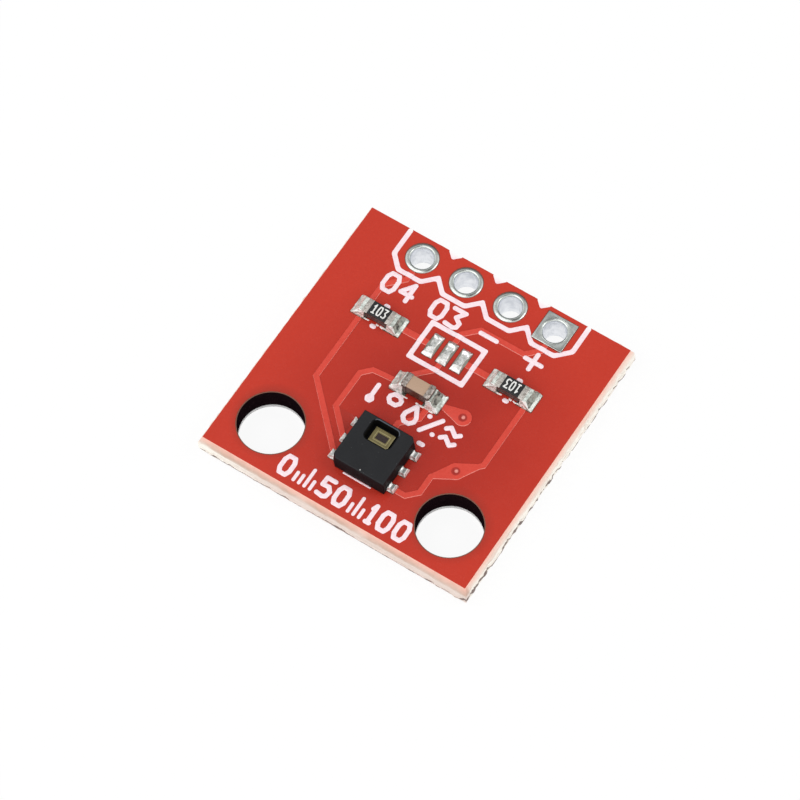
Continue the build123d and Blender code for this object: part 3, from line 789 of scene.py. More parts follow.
@dataclass(frozen=True)
class Laminate(Coating):
    """Snapped glass epoxy: cream, streaked along the edge, with a painted red glow under the mask, painted
    shade on the front edge and a painted shadow along the web's foot.
    """

    cream: Colour = linear(255, 250, 240)
    shade: Colour = linear(228, 209, 200)
    streak: Colour = linear(206, 180, 164)
    tan: Colour = linear(186, 158, 140)
    painted_red_glow: Colour = linear(250, 196, 178)
    rind: Colour = linear(128, 86, 72)
    web_foot_shadow: Colour = linear(116, 96, 92)
    top_level: float = 1.575
    web_top: float = 1.13
    web_bottom: float = 0.47

    def lay(self, graph: NodeGraph) -> None:
        """Lays the cut faces first, then the painted shadow along the web's foot and the torn web's relief.
        """
        front = graph.rise(-7.35, -7.25, 1.0, 0.0, "Y")
        right = graph.rise(7.15, 7.3, 0.0, 1.0, "X")
        colour = self.cut_face(graph, front)
        # painted shadow: a dark broken line along the foot of the web, where it overhangs
        colour = graph.mix(self.web_foot_shadow_share(graph, front, right), colour, self.web_foot_shadow)
        relief = graph.noise(0.05, 4.0, 0.7, graph.stretch(0.25, 0.25, 1.0))
        graph.coat(colour, relief, 0.012, Roughness=0.68, Specular_IOR_Level=0.3)

    def cut_face(self, graph: NodeGraph, front: Socket) -> Socket:
        """Lays the streaked cream with its painted shade on the front edge, its tan slope, the painted red
        glow under the mask and the dark band just below the mask.

        Args:
            graph: the material's graph.
            front: a value that is 1 on the front edge.

        Returns:
            The colour output.
        """
        # painted shade: the front edge is darker, most on its right part
        dull = graph.rise(-6.8, -3.2, 0.0, 0.85, "X")
        colour = graph.mix(graph.maths("MULTIPLY", front, dull), self.cream, self.shade)
        grain = graph.noise(0.12, 5.0, 0.65, graph.stretch(0.12, 0.12, 1.0))
        colour = graph.tint(colour, self.streak, grain, 0.5, 0.7, 0.6)
        slope = graph.rise(self.web_top - 0.05, self.web_top + 0.1)
        weave = graph.noise(2.4, 5.0, 0.62, graph.stretch(1.0, 1.0, 0.35))
        most = graph.remap(front, 0.0, 1.0, 0.25, 0.9)
        share = graph.maths("MULTIPLY", slope, graph.remap(weave, 0.36, 0.56, 0.25, 1.0), most)
        colour = graph.mix(share, colour, self.tan)
        # painted red glow: the cut face turns pink near the red mask, for the mask's light bleeding into it
        colour = graph.mix(graph.rise(self.web_top, self.top_level - 0.04, 0.0, 0.9), colour, self.painted_red_glow)
        return graph.mix(graph.rise(self.top_level - 0.004, self.top_level - 0.001), colour, self.rind)

    def web_foot_shadow_share(self, graph: NodeGraph, front: Socket, right: Socket) -> Socket:
        """Finds where the painted shadow lies under the web's overhanging foot, in broken blots, most on the
        front and right edges.

        Args:
            graph: the material's graph.
            front: a value that is 1 on the front edge.
            right: a value that is 1 on the right edge.

        Returns:
            The value output.
        """
        nearness = graph.rise(self.web_bottom, self.web_bottom + 0.5, 1.0, 0.0)
        blots = graph.noise(0.5, 4.0, 0.55, graph.stretch(1.0, 1.0, 0.5))
        corner = graph.rise(-7.5, 1.0, 0.2, 0.07, "Y")
        reach = graph.maths("ADD", nearness, blots, graph.maths("MULTIPLY", right, corner))
        reach = graph.maths("SUBTRACT", reach, graph.maths("MULTIPLY", front, 0.04))
        above = graph.rise(self.web_bottom - 0.09, self.web_bottom - 0.02)
        worst = graph.remap(graph.maths("MAXIMUM", front, right), 0.0, 1.0, 0.35, 1.0)
        return graph.maths("MULTIPLY", graph.remap(reach, 1.3, 1.37, 0.0, 0.9), above, worst)


@dataclass(frozen=True)
class DrilledWall(Coating):
    """The dark wall of a drilled hole, with painted light at its foot."""

    dark: Colour = linear(26, 15, 19)
    ring: Colour = linear(58, 38, 44)
    foot: Colour = linear(255, 255, 255)
    bounce_light_level: float = 0.3

    def lay(self, graph: NodeGraph) -> None:
        """Lays the drill's rings and the painted light at the foot."""
        rings = graph.noise(0.08, 3.0, 0.6, graph.stretch(0.3, 0.3, 1.0))
        wall = graph.tint(self.dark, self.ring, rings, 0.5, 0.8, 0.35)
        # painted light: the foot of the wall is white, for the light that the floor throws into the hole
        low = graph.rise(self.bounce_light_level - 0.06, self.bounce_light_level, 1.0, 0.0)
        graph.coat(graph.mix(low, wall, self.foot), rings, 0.006, Roughness=0.7, Specular_IOR_Level=0.0)


@dataclass(frozen=True)
class PrintingInk(Coating):
    """Pinkish white printing ink, thin in places and whiter along the back edge."""

    white: Colour = linear(253, 233, 239)
    thin: Colour = linear(247, 206, 215)
    back: Colour = linear(255, 252, 252)

    def lay(self, graph: NodeGraph) -> None:
        """Lays the ink's thin patches and its whiter back."""
        colour = graph.tint(self.white, self.thin, graph.noise(0.22, 4.0, 0.6), 0.5, 0.75, 0.8)
        colour = graph.mix(graph.rise(7.1, 7.4, axis="Y"), colour, self.back)
        graph.coat(colour, graph.noise(0.05, 3.0), 0.003, Roughness=0.55)


@dataclass(frozen=True)
class BrightMetal(Coating):
    """Tin or solder: bright metal with darker, duller patches and a lumpy skin."""

    bright: Colour
    dull: Colour
    stain: Colour = linear(120, 84, 60)
    patch: float = 0.25
    dullness: float = 0.6
    stains: float = 0.0
    roughness: float = 0.22
    lump: float = 0.1
    depth: float = 0.01
    metal: float = 1.0

    def lay(self, graph: NodeGraph) -> None:
        """Lays the dull patches, which are rougher too, the stains and the lumps."""
        patches = graph.noise(self.patch, 4.0, 0.6, distortion=0.6)
        colour = graph.tint(self.bright, self.dull, patches, 0.42, 0.66, self.dullness)
        if self.stains:
            away = graph.stretch(1, 1, 1, (9, 4, 2))
            spots = graph.noise(self.patch * 0.7, 3.0, 0.6, away)
            colour = graph.tint(colour, self.stain, spots, 0.6, 0.72, self.stains)
        graph.plug(graph.remap(patches, 0.35, 0.7, self.roughness, self.roughness + 0.2), "Roughness")
        graph.coat(colour, graph.noise(self.lump, 3.0, 0.5), self.depth, Metallic=self.metal)


@dataclass(frozen=True)
class BareCopper(Coating):
    """Copper foil, tinned where it stands above the laminate."""

    foil: Colour = linear(206, 128, 92)
    dark: Colour = linear(160, 88, 60)
    tin: Colour = linear(168, 168, 158)
    land_level: float = 1.575

    def lay(self, graph: NodeGraph) -> None:
        """Lays the uneven foil and the tin on the lands."""
        foil = graph.tint(self.foil, self.dark, graph.noise(0.3, 4.0), 0.35, 0.7, 0.7)
        tinned = graph.rise(self.land_level - 0.002, self.land_level + 0.002)
        colour = graph.mix(tinned, foil, self.tin)
        graph.coat(colour, graph.noise(0.06, 3.0), 0.003, Metallic=1.0, Roughness=0.35)


@dataclass(frozen=True)
class Ceramic(Coating):
    """Fired ceramic, painted dark for the shade on the chip's sides."""

    body: Colour = linear(92, 68, 64)
    grain: Colour = linear(42, 28, 26)

    def lay(self, graph: NodeGraph) -> None:
        """Lays a darker grain over the painted shade."""
        # painted shade: the ceramic is coloured as dark as its shaded sides
        colour = graph.tint(self.body, self.grain, graph.noise(0.05, 4.0, 0.6), 0.35, 0.7, 0.8)
        graph.coat(colour, graph.noise(0.03, 3.0), 0.003, Roughness=0.5)


@dataclass(frozen=True)
class LayeredCeramic(Coating):
    """The capacitor's ceramic: tan on top, with painted shade and a reflected red cast of the board on its
    faintly layered sides.
    """

    top: Colour = linear(186, 156, 132)
    side: Colour = linear(66, 32, 20)
    layer: Colour = linear(36, 14, 9)
    grain: Colour = linear(160, 128, 104)
    top_level: float = 2.4

    def lay(self, graph: NodeGraph) -> None:
        """Lays the layers and the painted shade of the sides, the tan top and the grain."""
        layers = graph.noise(0.045, 2.0, 0.5, graph.stretch(0.06, 0.06, 1.0))
        # painted shade: the sides are dark reddish brown, while the top keeps the tan
        side = graph.tint(self.side, self.layer, layers, 0.4, 0.65, 0.6)
        colour = graph.mix(graph.rise(self.top_level - 0.05, self.top_level - 0.01), side, self.top)
        colour = graph.tint(colour, self.grain, graph.noise(0.06, 4.0, 0.6), 0.4, 0.7, 0.3)
        graph.coat(colour, graph.noise(0.04, 3.0), 0.003, Roughness=0.4)


@dataclass(frozen=True)
class ResistorGlaze(Coating):
    """Black overcoat of a chip resistor."""

    black: Colour = linear(24, 24, 26)
    worn: Colour = linear(52, 52, 55)

    def lay(self, graph: NodeGraph) -> None:
        """Lays the wear."""
        colour = graph.tint(self.black, self.worn, graph.noise(0.09, 4.0, 0.65), 0.5, 0.8, 0.5)
        graph.coat(colour, graph.noise(0.08, 3.0), 0.004, Roughness=0.38)


@dataclass(frozen=True)
class MouldingCompound(Coating):
    """Black moulding compound with a fine matt grain, a few pale filler specks and painted shade on its
    sides.
    """

    black: Colour = linear(22, 23, 26)
    grain: Colour = linear(37, 39, 42)
    speck: Colour = linear(120, 124, 124)
    filler: Colour = linear(196, 196, 194)
    filler_place: Point = (0.18, -5.26)
    filler_reach: float = 0.06
    side: Colour = linear(10, 10, 11)
    shine: float = 0.3
    top_level: float = 2.54

    def lay(self, graph: NodeGraph) -> None:
        """Lays the grain, the specks, the one pale filler grain on top and the painted shade on the sides."""
        grain = graph.noise(0.035, 5.0, 0.7)
        colour = graph.tint(self.black, self.grain, grain, 0.45, 0.75, 0.8)
        colour = graph.tint(colour, self.grain, graph.noise(0.8, 3.0), 0.35, 0.7, 0.25)
        colour = graph.mix(graph.remap(graph.cells(0.3), 0.035, 0.055, 0.5, 0.0), colour, self.speck)
        filler = graph.spot((*self.filler_place, self.top_level), self.filler_reach)
        colour = graph.tint(colour, self.filler, filler, 0.25, 0.7, 1.0)
        # painted shade: the colour darkens just below the top face
        below = graph.rise(self.top_level - 0.06, self.top_level - 0.02, 0.85, 0.0)
        colour = graph.mix(below, colour, self.side)
        graph.coat(colour, grain, 0.006, Roughness=0.55, Specular_IOR_Level=self.shine)


@dataclass(frozen=True)
class SensingFilm(Coating):
    """The dark sensing film and the die under it."""

    film: Colour = linear(40, 26, 26)
    edge: Colour = linear(66, 48, 40)

    def lay(self, graph: NodeGraph) -> None:
        """Lays the film's faint clouds."""
        colour = graph.tint(self.film, self.edge, graph.noise(0.1, 3.0), 0.4, 0.7, 0.6)
        graph.coat(colour, graph.noise(0.05, 2.0), 0.001, Roughness=0.25)


@dataclass(frozen=True)
class DieMetal(Coating):
    """Olive gold metal tracks of the die."""

    gold: Colour = linear(140, 128, 84)
    shade: Colour = linear(104, 94, 60)
    roughness: float = 0.45

    def lay(self, graph: NodeGraph) -> None:
        """Lays the fine lines of the tracks."""
        lines = graph.noise(0.03, 3.0, 0.6, graph.stretch(1.0, 0.2, 1.0))
        colour = graph.tint(self.gold, self.shade, lines, 0.4, 0.65, 0.7)
        graph.coat(colour, lines, 0.002, Metallic=0.35, Roughness=self.roughness)


class Finish(Enum):
    """The finishes, each made once."""

    MASK = SolderMask()
    # painted highlight: a lighter copy of the mask for the ridges' slopes that face the front
    MASK_GLINT = SolderMask(
        sheet=linear(244, 140, 128), middle=linear(240, 134, 122), over_copper=linear(255, 170, 158)
    )
    UNDERSIDE = UndersideMask()
    LAMINATE = Laminate()
    DRILLED = DrilledWall()
    INK = PrintingInk()
    CODE = PrintingInk(white=linear(236, 236, 232), thin=linear(200, 200, 198))
    PALE_SEAM = PrintingInk(white=linear(255, 246, 242), thin=linear(250, 206, 200))
    PAD = BrightMetal(linear(214, 219, 215), linear(176, 181, 175), roughness=0.1, depth=0.003)
    # painted reflection: a lighter copy of the tin for the bore's walls, standing in for the white floor seen
    # in them
    BORE_PAINTED_REFLECTION = BrightMetal(linear(240, 242, 246), linear(218, 222, 228), patch=0.4, roughness=0.3, depth=0.004)
    SOLDER = BrightMetal(
        bright=linear(236, 243, 236),
        dull=linear(138, 144, 135),
        stain=linear(108, 88, 84),
        patch=0.3,
        dullness=0.85,
        stains=0.4,
        roughness=0.24,
        lump=0.13,
        depth=0.006,
        metal=0.4,
    )
    # painted shade: a darker copy of the solder
    SOLDER_SHADE = BrightMetal(
        linear(160, 164, 154), linear(46, 44, 40), patch=0.2, dullness=1.0, roughness=0.3, metal=0.5
    )
    # painted highlight: a whiter copy of the solder
    SOLDER_GLINT = BrightMetal(
        linear(255, 255, 252), linear(206, 204, 198), patch=0.16, dullness=0.9, roughness=0.25, metal=0.3
    )
    PUDDLE = BrightMetal(
        bright=linear(255, 255, 253),
        dull=linear(150, 156, 146),
        stain=linear(132, 104, 128),
        patch=0.26,
        dullness=0.8,
        stains=0.5,
        roughness=0.2,
        depth=0.008,
        metal=0.8,
    )
    JOINT = BrightMetal(
        linear(250, 250, 247), linear(150, 148, 144), patch=0.2, dullness=0.8, roughness=0.24, metal=0.55
    )
    TERMINAL = BrightMetal(
        linear(250, 242, 240), linear(206, 198, 194), patch=0.12, roughness=0.34, lump=0.05, depth=0.008
    )
    # painted shade: a dark copy of the terminals' metal for their sideways faces
    SHADED_TERMINAL_SIDE = BrightMetal(
        linear(112, 102, 94), linear(44, 34, 30), patch=0.14, roughness=0.3, lump=0.05, depth=0.02
    )
    RESISTOR_END = BrightMetal(
        bright=linear(226, 220, 213),
        dull=linear(138, 130, 122),
        patch=0.14,
        dullness=0.75,
        roughness=0.34,
        lump=0.05,
        depth=0.008,
    )
    CAPACITOR_END = BrightMetal(
        bright=linear(204, 194, 187),
        dull=linear(100, 88, 80),
        patch=0.18,
        dullness=0.85,
        roughness=0.34,
        lump=0.05,
    )
    COPPER = BareCopper()
    SHADED_ALUMINA = Ceramic()
    CAPACITOR = LayeredCeramic()
    GLAZE = ResistorGlaze()
    COMPOUND = MouldingCompound()
    # painted shade: a darker, less shiny copy for the package's sideways faces
    SHADED_COMPOUND_SIDE = MouldingCompound(side=linear(14, 15, 17), shine=0.1)
    # painted shade: a near-black copy for the window's recess
    RECESS_SHADE = MouldingCompound(linear(16, 16, 17), linear(24, 24, 26), side=linear(7, 7, 8), shine=0.08)
    # painted highlight: a lighter bluish copy for the window's back rim
    RIM_HIGHLIGHT = MouldingCompound(linear(70, 76, 86), linear(86, 92, 100), side=linear(70, 76, 86))
    FILM = SensingFilm()
    DIE = DieMetal()
    DIE_LINE = DieMetal(gold=linear(188, 178, 130), shade=linear(160, 150, 104), roughness=0.35)

    def material(self) -> bpy.types.Material:
        """The finish's material, made when it is first asked for."""
        name = f"finish_{self.name.lower()}"
        return bpy.data.materials.get(name) or self.value.build(name)


def dress_node(node: str, finish: Finish) -> None:
    """Gives a CAD node that stays its material."""
    data = frame["nodes"][node].data
    data.materials.clear()
    data.materials.append(finish.material())


@dataclass
class Stroke:
    """A printed run of one width with round ends: a low pillow of ink.

    Sizes are in millimetres. Each length of the run stands a step higher than the last, so that no two
    pillows share a face.
    """

    points: Sequence[Point]
    width: float
    base: float
    height: float
    sides: int = 16
    step: float = 0.0012

    def build(self) -> list[Shaper]:
        """Makes one pillow for each straight length.

        Returns:
            The pillows.
        """
        pieces = []
        disc = bpy.ops.mesh.primitive_circle_add
        for number, (start, end) in enumerate(zip(self.points, self.points[1:])):
            crown = self.height + self.step * (number % 4)
            along = Vector((end[0] - start[0], end[1] - start[1], 0.0))
            turn = math.atan2(along.y, along.x) + math.pi / self.sides
            middle = Vector((start[0], start[1], self.base))
            size = {"vertices": self.sides, "radius": self.width / 2 * MM}
            pillow = Shaper.add("ink", disc, middle, fill_type="NGON", rotation=(0.0, 0.0, turn), **size)
            pillow.pick(Kind.VERTS, lambda place: (place - middle).dot(along) > 0.0)
            pillow.move(along.x, along.y, 0.0)
            pillow.pick(Kind.FACES)
            pillow.extrude(0.0, 0.0, crown * 0.55)
            pillow.inset(self.width * 0.12, crown * 0.33)
            pillow.inset(self.width * 0.2, crown * 0.12)
            low = self.base + CLOSE / 2
            pillow.pick(Kind.EDGES, lambda a, b: a.z < low and b.z < low)
            pillow.run(bpy.ops.mesh.edge_face_add)
            pieces.append(pillow.outward())
        return pieces


GLYPHS: dict[str, Sequence[Sequence[Point]]] = {
    "0": [
        [(0.2, 0.0), (0.8, 0.0), (1.0, 0.25), (1.0, 0.75), (0.8, 1.0)]
        + [(0.2, 1.0), (0.0, 0.75), (0.0, 0.25), (0.2, 0.0)],
    ],
    "1": [[(0.15, 0.78), (0.5, 1.0), (0.5, 0.0)], [(0.15, 0.0), (0.85, 0.0)]],
    "3": [[(0.0, 1.0), (1.0, 1.0), (0.5, 0.58), (1.0, 0.35), (0.95, 0.1), (0.7, 0.0), (0.0, 0.05)]],
    "4": [[(0.75, 0.0), (0.75, 1.0), (0.0, 0.35), (1.0, 0.35)]],
    "5": [
        [(0.95, 1.0), (0.1, 1.0), (0.05, 0.58), (0.7, 0.6)]
        + [(1.0, 0.38), (0.9, 0.08), (0.6, 0.0), (0.0, 0.05)],
    ],
    "minus": [[(0.0, 0.5), (1.0, 0.5)]],
    "plus": [[(0.0, 0.5), (1.0, 0.5)], [(0.5, 0.0), (0.5, 1.0)]],
    "drop": [
        [(0.5, 1.0), (0.1, 0.42), (0.1, 0.2), (0.33, 0.0), (0.67, 0.0), (0.9, 0.2), (0.9, 0.42), (0.5, 1.0)],
    ],
    "percent": [[(0.05, 0.0), (0.95, 1.0)], [(0.1, 0.88), (0.12, 0.88)], [(0.88, 0.12), (0.9, 0.12)]],
    "thermometer": [
        [(0.5, 0.2), (0.5, 1.0)],
        [(0.34, 0.18), (0.42, 0.06), (0.58, 0.06), (0.66, 0.18), (0.58, 0.28), (0.42, 0.28), (0.34, 0.18)],
    ],
    "degree": [
        [(0.3, 0.5), (0.7, 0.5), (0.9, 0.68), (0.9, 0.82), (0.7, 1.0)]
        + [(0.3, 1.0), (0.1, 0.82), (0.1, 0.68), (0.3, 0.5)],
    ],
    "waves": [
        [(0.0, 0.76), (0.25, 0.92), (0.75, 0.62), (1.0, 0.78)],
        [(0.0, 0.2), (0.25, 0.36), (0.75, 0.06), (1.0, 0.22)],
    ],
}


def glyph_runs(glyph: str, corner: Point, size: Point, turned: bool = False) -> list[list[Point]]:
    """Places a glyph's runs on the face that it is printed on.

    Args:
        glyph: its name in GLYPHS.
        corner: where its lower left corner is, in millimetres.
        size: its width and height in millimetres.
        turned: whether it is upside down.

    Returns:
        The points of each run.
    """
    return [
        [
            (corner[0] + size[0] * (1 - x if turned else x), corner[1] + size[1] * (1 - y if turned else y))
            for x, y in run
        ]
        for run in GLYPHS[glyph]
    ]


def gather(name: str, pieces: Sequence[Shaper], finish: Finish, slot: str = "ink") -> None:
    """Joins printed strokes into one piece and hands it over.

    Args:
        name: the piece's name.
        pieces: the strokes.
        finish: what they are made of.
        slot: their slot in the record.
    """
    whole = join(name, pieces)
    whole.smooth(35.0)
    whole.dress(finish.material()).settle(slot)


@dataclass
class Printing:
    """Printed outlines, signs, numbers and scale on the top face, in millimetres.

    Glyphs in a row are listed with the place of their left side. Ticks and stray threads are listed with
    where they start, and then how many there are or where they end.
    """

    surface: float = 1.6
    sunk: float = 0.004
    ridge: float = 0.035
    ink_height: float = 0.024
    stroke_width: float = 0.24
    fine_width: float = 0.09
    corner: float = 0.1
    sign_row: float = 4.38
    minus_x: float = 1.27
    plus_x: float = 3.81
    sign_size: float = 0.9
    track_end: float = -2.0
    pins: tuple[tuple[float, str], ...] = ((-4.68, "0"), (-3.7, "4"), (-1.92, "0"), (-0.96, "3"))
    pin_size: Point = (0.64, 0.98)
    pictures: tuple[str, ...] = ("thermometer", "degree", "drop", "percent", "waves")
    picture_corner: Point = (-2.2, -1.62)
    picture_size: Point = (0.78, 1.0)
    picture_pitch: float = 1.1
    digits: tuple[tuple[float, str], ...] = (
        (-3.42, "0"),
        (-1.21, "5"),
        (-0.33, "0"),
        (1.54, "1"),
        (2.16, "0"),
        (3.06, "0"),
    )
    digit_size: Point = (0.54, 0.96)
    ticks: tuple[tuple[float, int], ...] = ((-2.5, 4), (0.59, 3))
    short_tick: float = 0.44
    mark_rows: tuple[float, float] = (1.9, 3.18)
    capacitor_seam: Point = (0.05, -0.5)
    capacitor_threads: tuple[Point, ...] = ((-0.66, -0.34), (0.2, 0.56), (0.62, 1.1))
    resistor_seam_row: float = 2.07
    resistor_threads: tuple[Point, ...] = ((-0.74, -0.36), (0.12, 0.2), (0.34, 0.5), (0.56, 0.9))
    resistor_xs: tuple[float, float] = (-3.8, 3.79)
    scale_row: float = -7.02
    tick_pitch: float = 0.31

    def outlines(self) -> None:
        """Rounds the corners of the outlines round the header row and the jumper."""
        piece = Shaper.copy_of("silkscreen_top", "printed_outlines")
        LOG.info("rounding %d corners of the outlines", piece.pick_turns(self.surface, 12.0))
        piece.bevel(self.corner, 4, clamp=False)
        piece.smooth(25.0)
        piece.even_normals()
        piece.dress(Finish.INK.material()).settle("ink", "silkscreen_top")

    def print_glyph(self, glyph: str, corner: Point, size: Point, raised: bool = False) -> list[Shaper]:
        """Prints one glyph.

        Args:
            glyph: its name in GLYPHS.
            corner: where its lower left corner is, in millimetres.
            size: its width and height in millimetres.
            raised: whether it lies over a track.

        Returns:
            Its strokes.
        """
        pieces = []
        base = self.surface - self.sunk
        height = self.ink_height + (self.ridge if raised else 0.0) + self.sunk
        for place, run in enumerate(glyph_runs(glyph, corner, size)):
            pieces += Stroke(run, self.stroke_width, base, height + 0.0006 * place).build()
        return pieces

    def signs(self) -> None:
        """Prints the pin numbers and the minus and plus signs."""
        low = self.sign_row - self.pin_size[1] / 2
        pins = []
        for x, glyph in self.pins:
            pins += self.print_glyph(glyph, (x, low), self.pin_size, raised=x < self.track_end)
        gather("printed_pin_numbers", pins, Finish.INK)
        half, signs = self.sign_size / 2, []
        for x, glyph in ((self.minus_x, "minus"), (self.plus_x, "plus")):
            corner = (x - half, self.sign_row - half)
            signs += self.print_glyph(glyph, corner, (self.sign_size, self.sign_size), raised=True)
        gather("printed_polarity_signs", signs, Finish.INK)

    def pictograms(self) -> None:
        """Prints a row of plain signs between the capacitor and the sensor."""
        pieces = []
        left, low = self.picture_corner
        for place, glyph in enumerate(self.pictures):
            corner = (left + place * self.picture_pitch, low)
            pieces += self.print_glyph(glyph, corner, self.picture_size, raised=place > 1)
        gather("printed_pictograms", pieces, Finish.INK)

    def scale(self) -> None:
        """Prints a plain graduated scale along the front edge, clear of both mounting holes."""
        width, height = self.digit_size
        low = self.scale_row
        pieces = []
        for x, glyph in self.digits:
            pieces += self.print_glyph(glyph, (x, low), (width / 2 if glyph == "1" else width, height))
        for start, count in self.ticks:
            for tick in range(count):
                x = start + tick * self.tick_pitch
                run = [(x, low), (x, low + (height if tick == count // 2 else self.short_tick))]
                pieces += self.mark(run, 2 * self.fine_width, 12)
        gather("printed_scale", pieces, Finish.INK)

    def mark(self, run: Sequence[Point], width: float, sides: int = 16) -> list[Shaper]:
        """Prints one plain stroke on the flat of the board.

        Args:
            run: its points in millimetres.
            width: its width in millimetres.
            sides: how many corners its round ends have.

        Returns:
            Its pillows.
        """
        return Stroke(run, width, self.surface - self.sunk, self.ink_height + self.sunk, sides).build()

    def marks(self) -> None:
        """Prints the ticks beside the resistors, and the sensor's dash and edge line."""
        pieces = []
        for x in self.resistor_xs:
            for y in self.mark_rows:
                pieces += self.mark([(x - 0.05, y), (x + 0.05, y)], self.stroke_width)
        pieces += self.mark([(1.5, -2.2), (1.7, -2.2)], self.stroke_width)
        pieces += self.mark([(-0.67, -5.445), (0.83, -5.445)], self.fine_width, 12)
        gather("printed_marks", pieces, Finish.INK)

    def seams(self) -> None:
        """Lays thin pale strokes on the board in front of the capacitor and the resistors."""
        runs = [(*self.capacitor_seam, start, end) for start, end in self.capacitor_threads]
        for x in self.resistor_xs:
            runs += [(x, self.resistor_seam_row, start, end) for start, end in self.resistor_threads]
        pieces = []
        for number, (x, y, start, end) in enumerate(runs):
            bend = [(x + start, y + 0.01), (x + (start + end) / 2, y - 0.015), (x + end, y)]
            width = 0.08 + 0.016 * (number % 3)
            pieces += Stroke(bend, width, self.surface - self.sunk, 0.02, 8).build()
        gather("pale_seams", pieces, Finish.PALE_SEAM, "solder")

    def build(self) -> None:
        """Prints everything."""
        self.outlines()
        self.signs()
        self.pictograms()
        self.scale()
        self.marks()
        self.seams()


@dataclass
class Board:
    """Laminate with its snapped edges, the solder mask and the buried copper, in millimetres.

    The drill has a middle height and a length; a noise has a feature size and a depth.
    """

    width: float = 15.24
    bottom: float = 0.06
    top: float = 1.575
    web_bottom: float = 0.47
    web_top: float = 1.13
    slope: float = math.tan(math.radians(22.5))
    hole_places: tuple[Point, ...] = ((-5.08, -5.08), (5.08, -5.08))
    hole_radius: float = 1.65
    header_y: float = 6.35
    header_xs: tuple[float, ...] = (-3.81, -1.27, 1.27, 3.81)
    header_radius: float = 0.62
    cuts: int = 150
    low_rings: tuple[float, ...] = (0.2, 0.33)
    web_rings: int = 8
    high_rings: tuple[float, ...] = (1.22, 1.31, 1.4, 1.49)
    drill: tuple[float, float] = (0.8, 3.0)
    torn_noise: Point = (0.42, -0.85)
    fine_noise: Point = (0.12, -0.035)
    sheet_level: float = 1.6
    copper_level: float = 1.635
    mask_inside: float = 7.4
    via_reach: float = 0.2
    glint_way: tuple[float, float, float] = (0.3, -0.95, 0.0)

    def half_width(self, level: float) -> float:
        """How far the board reaches from its middle at a height, in millimetres."""
        past = max(self.web_bottom - level, level - self.web_top, 0.0)
        return self.width / 2 - past * self.slope

    def laminate(self) -> None:
        """Builds the laminate: a dense wall of rings, torn along the web, with its holes drilled."""
        height, count = self.web_top - self.web_bottom, self.web_rings
        web = [self.web_bottom + height * step / count for step in range(count + 1)]
        levels = [self.bottom, *self.low_rings, *web, *self.high_rings, self.top]
        plane = bpy.ops.mesh.primitive_plane_add
        side = 2 * self.half_width(self.bottom)
        core = Shaper.add("board_core", plane, (0, 0, self.bottom), size=side * MM)
        core.pick(Kind.FACES)
        core.run(bpy.ops.mesh.delete, type="ONLY_FACE")
        core.pick(Kind.EDGES)
        core.run(bpy.ops.mesh.subdivide, number_cuts=self.cuts)
        for before, level in zip(levels, levels[1:]):
            core.pick_level(before)
            core.extrude(0.0, 0.0, level - before)
            core.pick(Kind.VERTS, lambda place: abs(place.z - level) < CLOSE)
            factor = self.half_width(level) / self.half_width(before)
            core.resize((0, 0, level), factor, factor, 1.0)
        for level in (self.bottom, self.top):
            core.pick_level(level)
            core.run(bpy.ops.mesh.edge_face_add)
        core.outward()
        self.tear(core)
        drills = [(x, y, self.hole_radius, 64) for x, y in self.hole_places]
        drills += [(x, self.header_y, self.header_radius, 24) for x in self.header_xs]
        for x, y, radius, sides in drills:
            core.cut(Shaper.rod("drill", (x, y, self.drill[0]), radius, self.drill[1], sides))
        core.smooth(40.0)
        core.dress(Finish.LAMINATE.material(), Finish.DRILLED.material())
        near = self.hole_radius + 0.01
        core.paint(
            1,
            lambda centre, normal: abs(normal.z) < 0.5
            and any(math.hypot(centre.x - x, centre.y - y) < near for x, y in self.hole_places),
        )
        core.settle("laminate", "board_laminate")

    def tear(self, core: Shaper) -> None:
        """Tears the web's outer skin inwards, most at its foot and on the right side.

        Args:
            core: the laminate.
        """
        groups = {name: core.obj.vertex_groups.new(name=name) for name in ("torn", "fine")}
        for vertex in core.obj.data.vertices:
            place = vertex.co / MM
            if place.z < self.bottom + 0.05 or place.z > self.top - 0.02:
                continue
            in_web = self.web_bottom - 0.01 < place.z < self.web_top + 0.01
            depth = (self.web_top - place.z) / (self.web_top - self.web_bottom)
            right = place.x > self.width / 2 - 0.2
            torn = (0.35 + 0.65 * depth) * (1.0 if right else 0.25) if in_web else 0.18
            groups["torn"].add([vertex.index], min(torn, 1.0), "REPLACE")
            groups["fine"].add([vertex.index], 1.0 if in_web else 0.4, "REPLACE")
        core.roughen(*self.torn_noise, "torn", 0.47)
        core.roughen(*self.fine_noise, "fine", 0.35)
        limit = self.width / 2 * MM
        for vertex in core.obj.data.vertices:
            vertex.co.x = max(-limit, min(limit, vertex.co.x))
            vertex.co.y = max(-limit, min(limit, vertex.co.y))

    def mask(self) -> None:
        """Softens the mask where it climbs over the tracks, makes its dips into the vias shallower and paints
        a highlight on the ridges' front slopes.
        """
        piece = Shaper.copy_of("solder_mask_top", "mask_skin")
        dip = self.copper_level - 0.005
        for x, y in SolderMask.vias:
            piece.pick(
                Kind.VERTS,
                lambda place: place.z < dip and math.hypot(place.x - x, place.y - y) < self.via_reach,
            )
            piece.resize((x, y, dip), 1.0, 1.0, 0.3)
        rim = self.copper_level - CLOSE / 2
        piece.pick(Kind.EDGES, lambda a, b: a.z > rim and b.z > rim)
        piece.bevel(0.026, 3)
        piece.pick(
            Kind.EDGES,
            lambda a, b: all(
                abs(end.z - self.sheet_level) < CLOSE and max(abs(end.x), abs(end.y)) < self.mask_inside
                for end in (a, b)
            ),
        )
        piece.bevel(0.008, 1)
        piece.smooth(60.0)
        piece.even_normals()
        piece.dress(Finish.MASK.material(), Finish.MASK_GLINT.material())
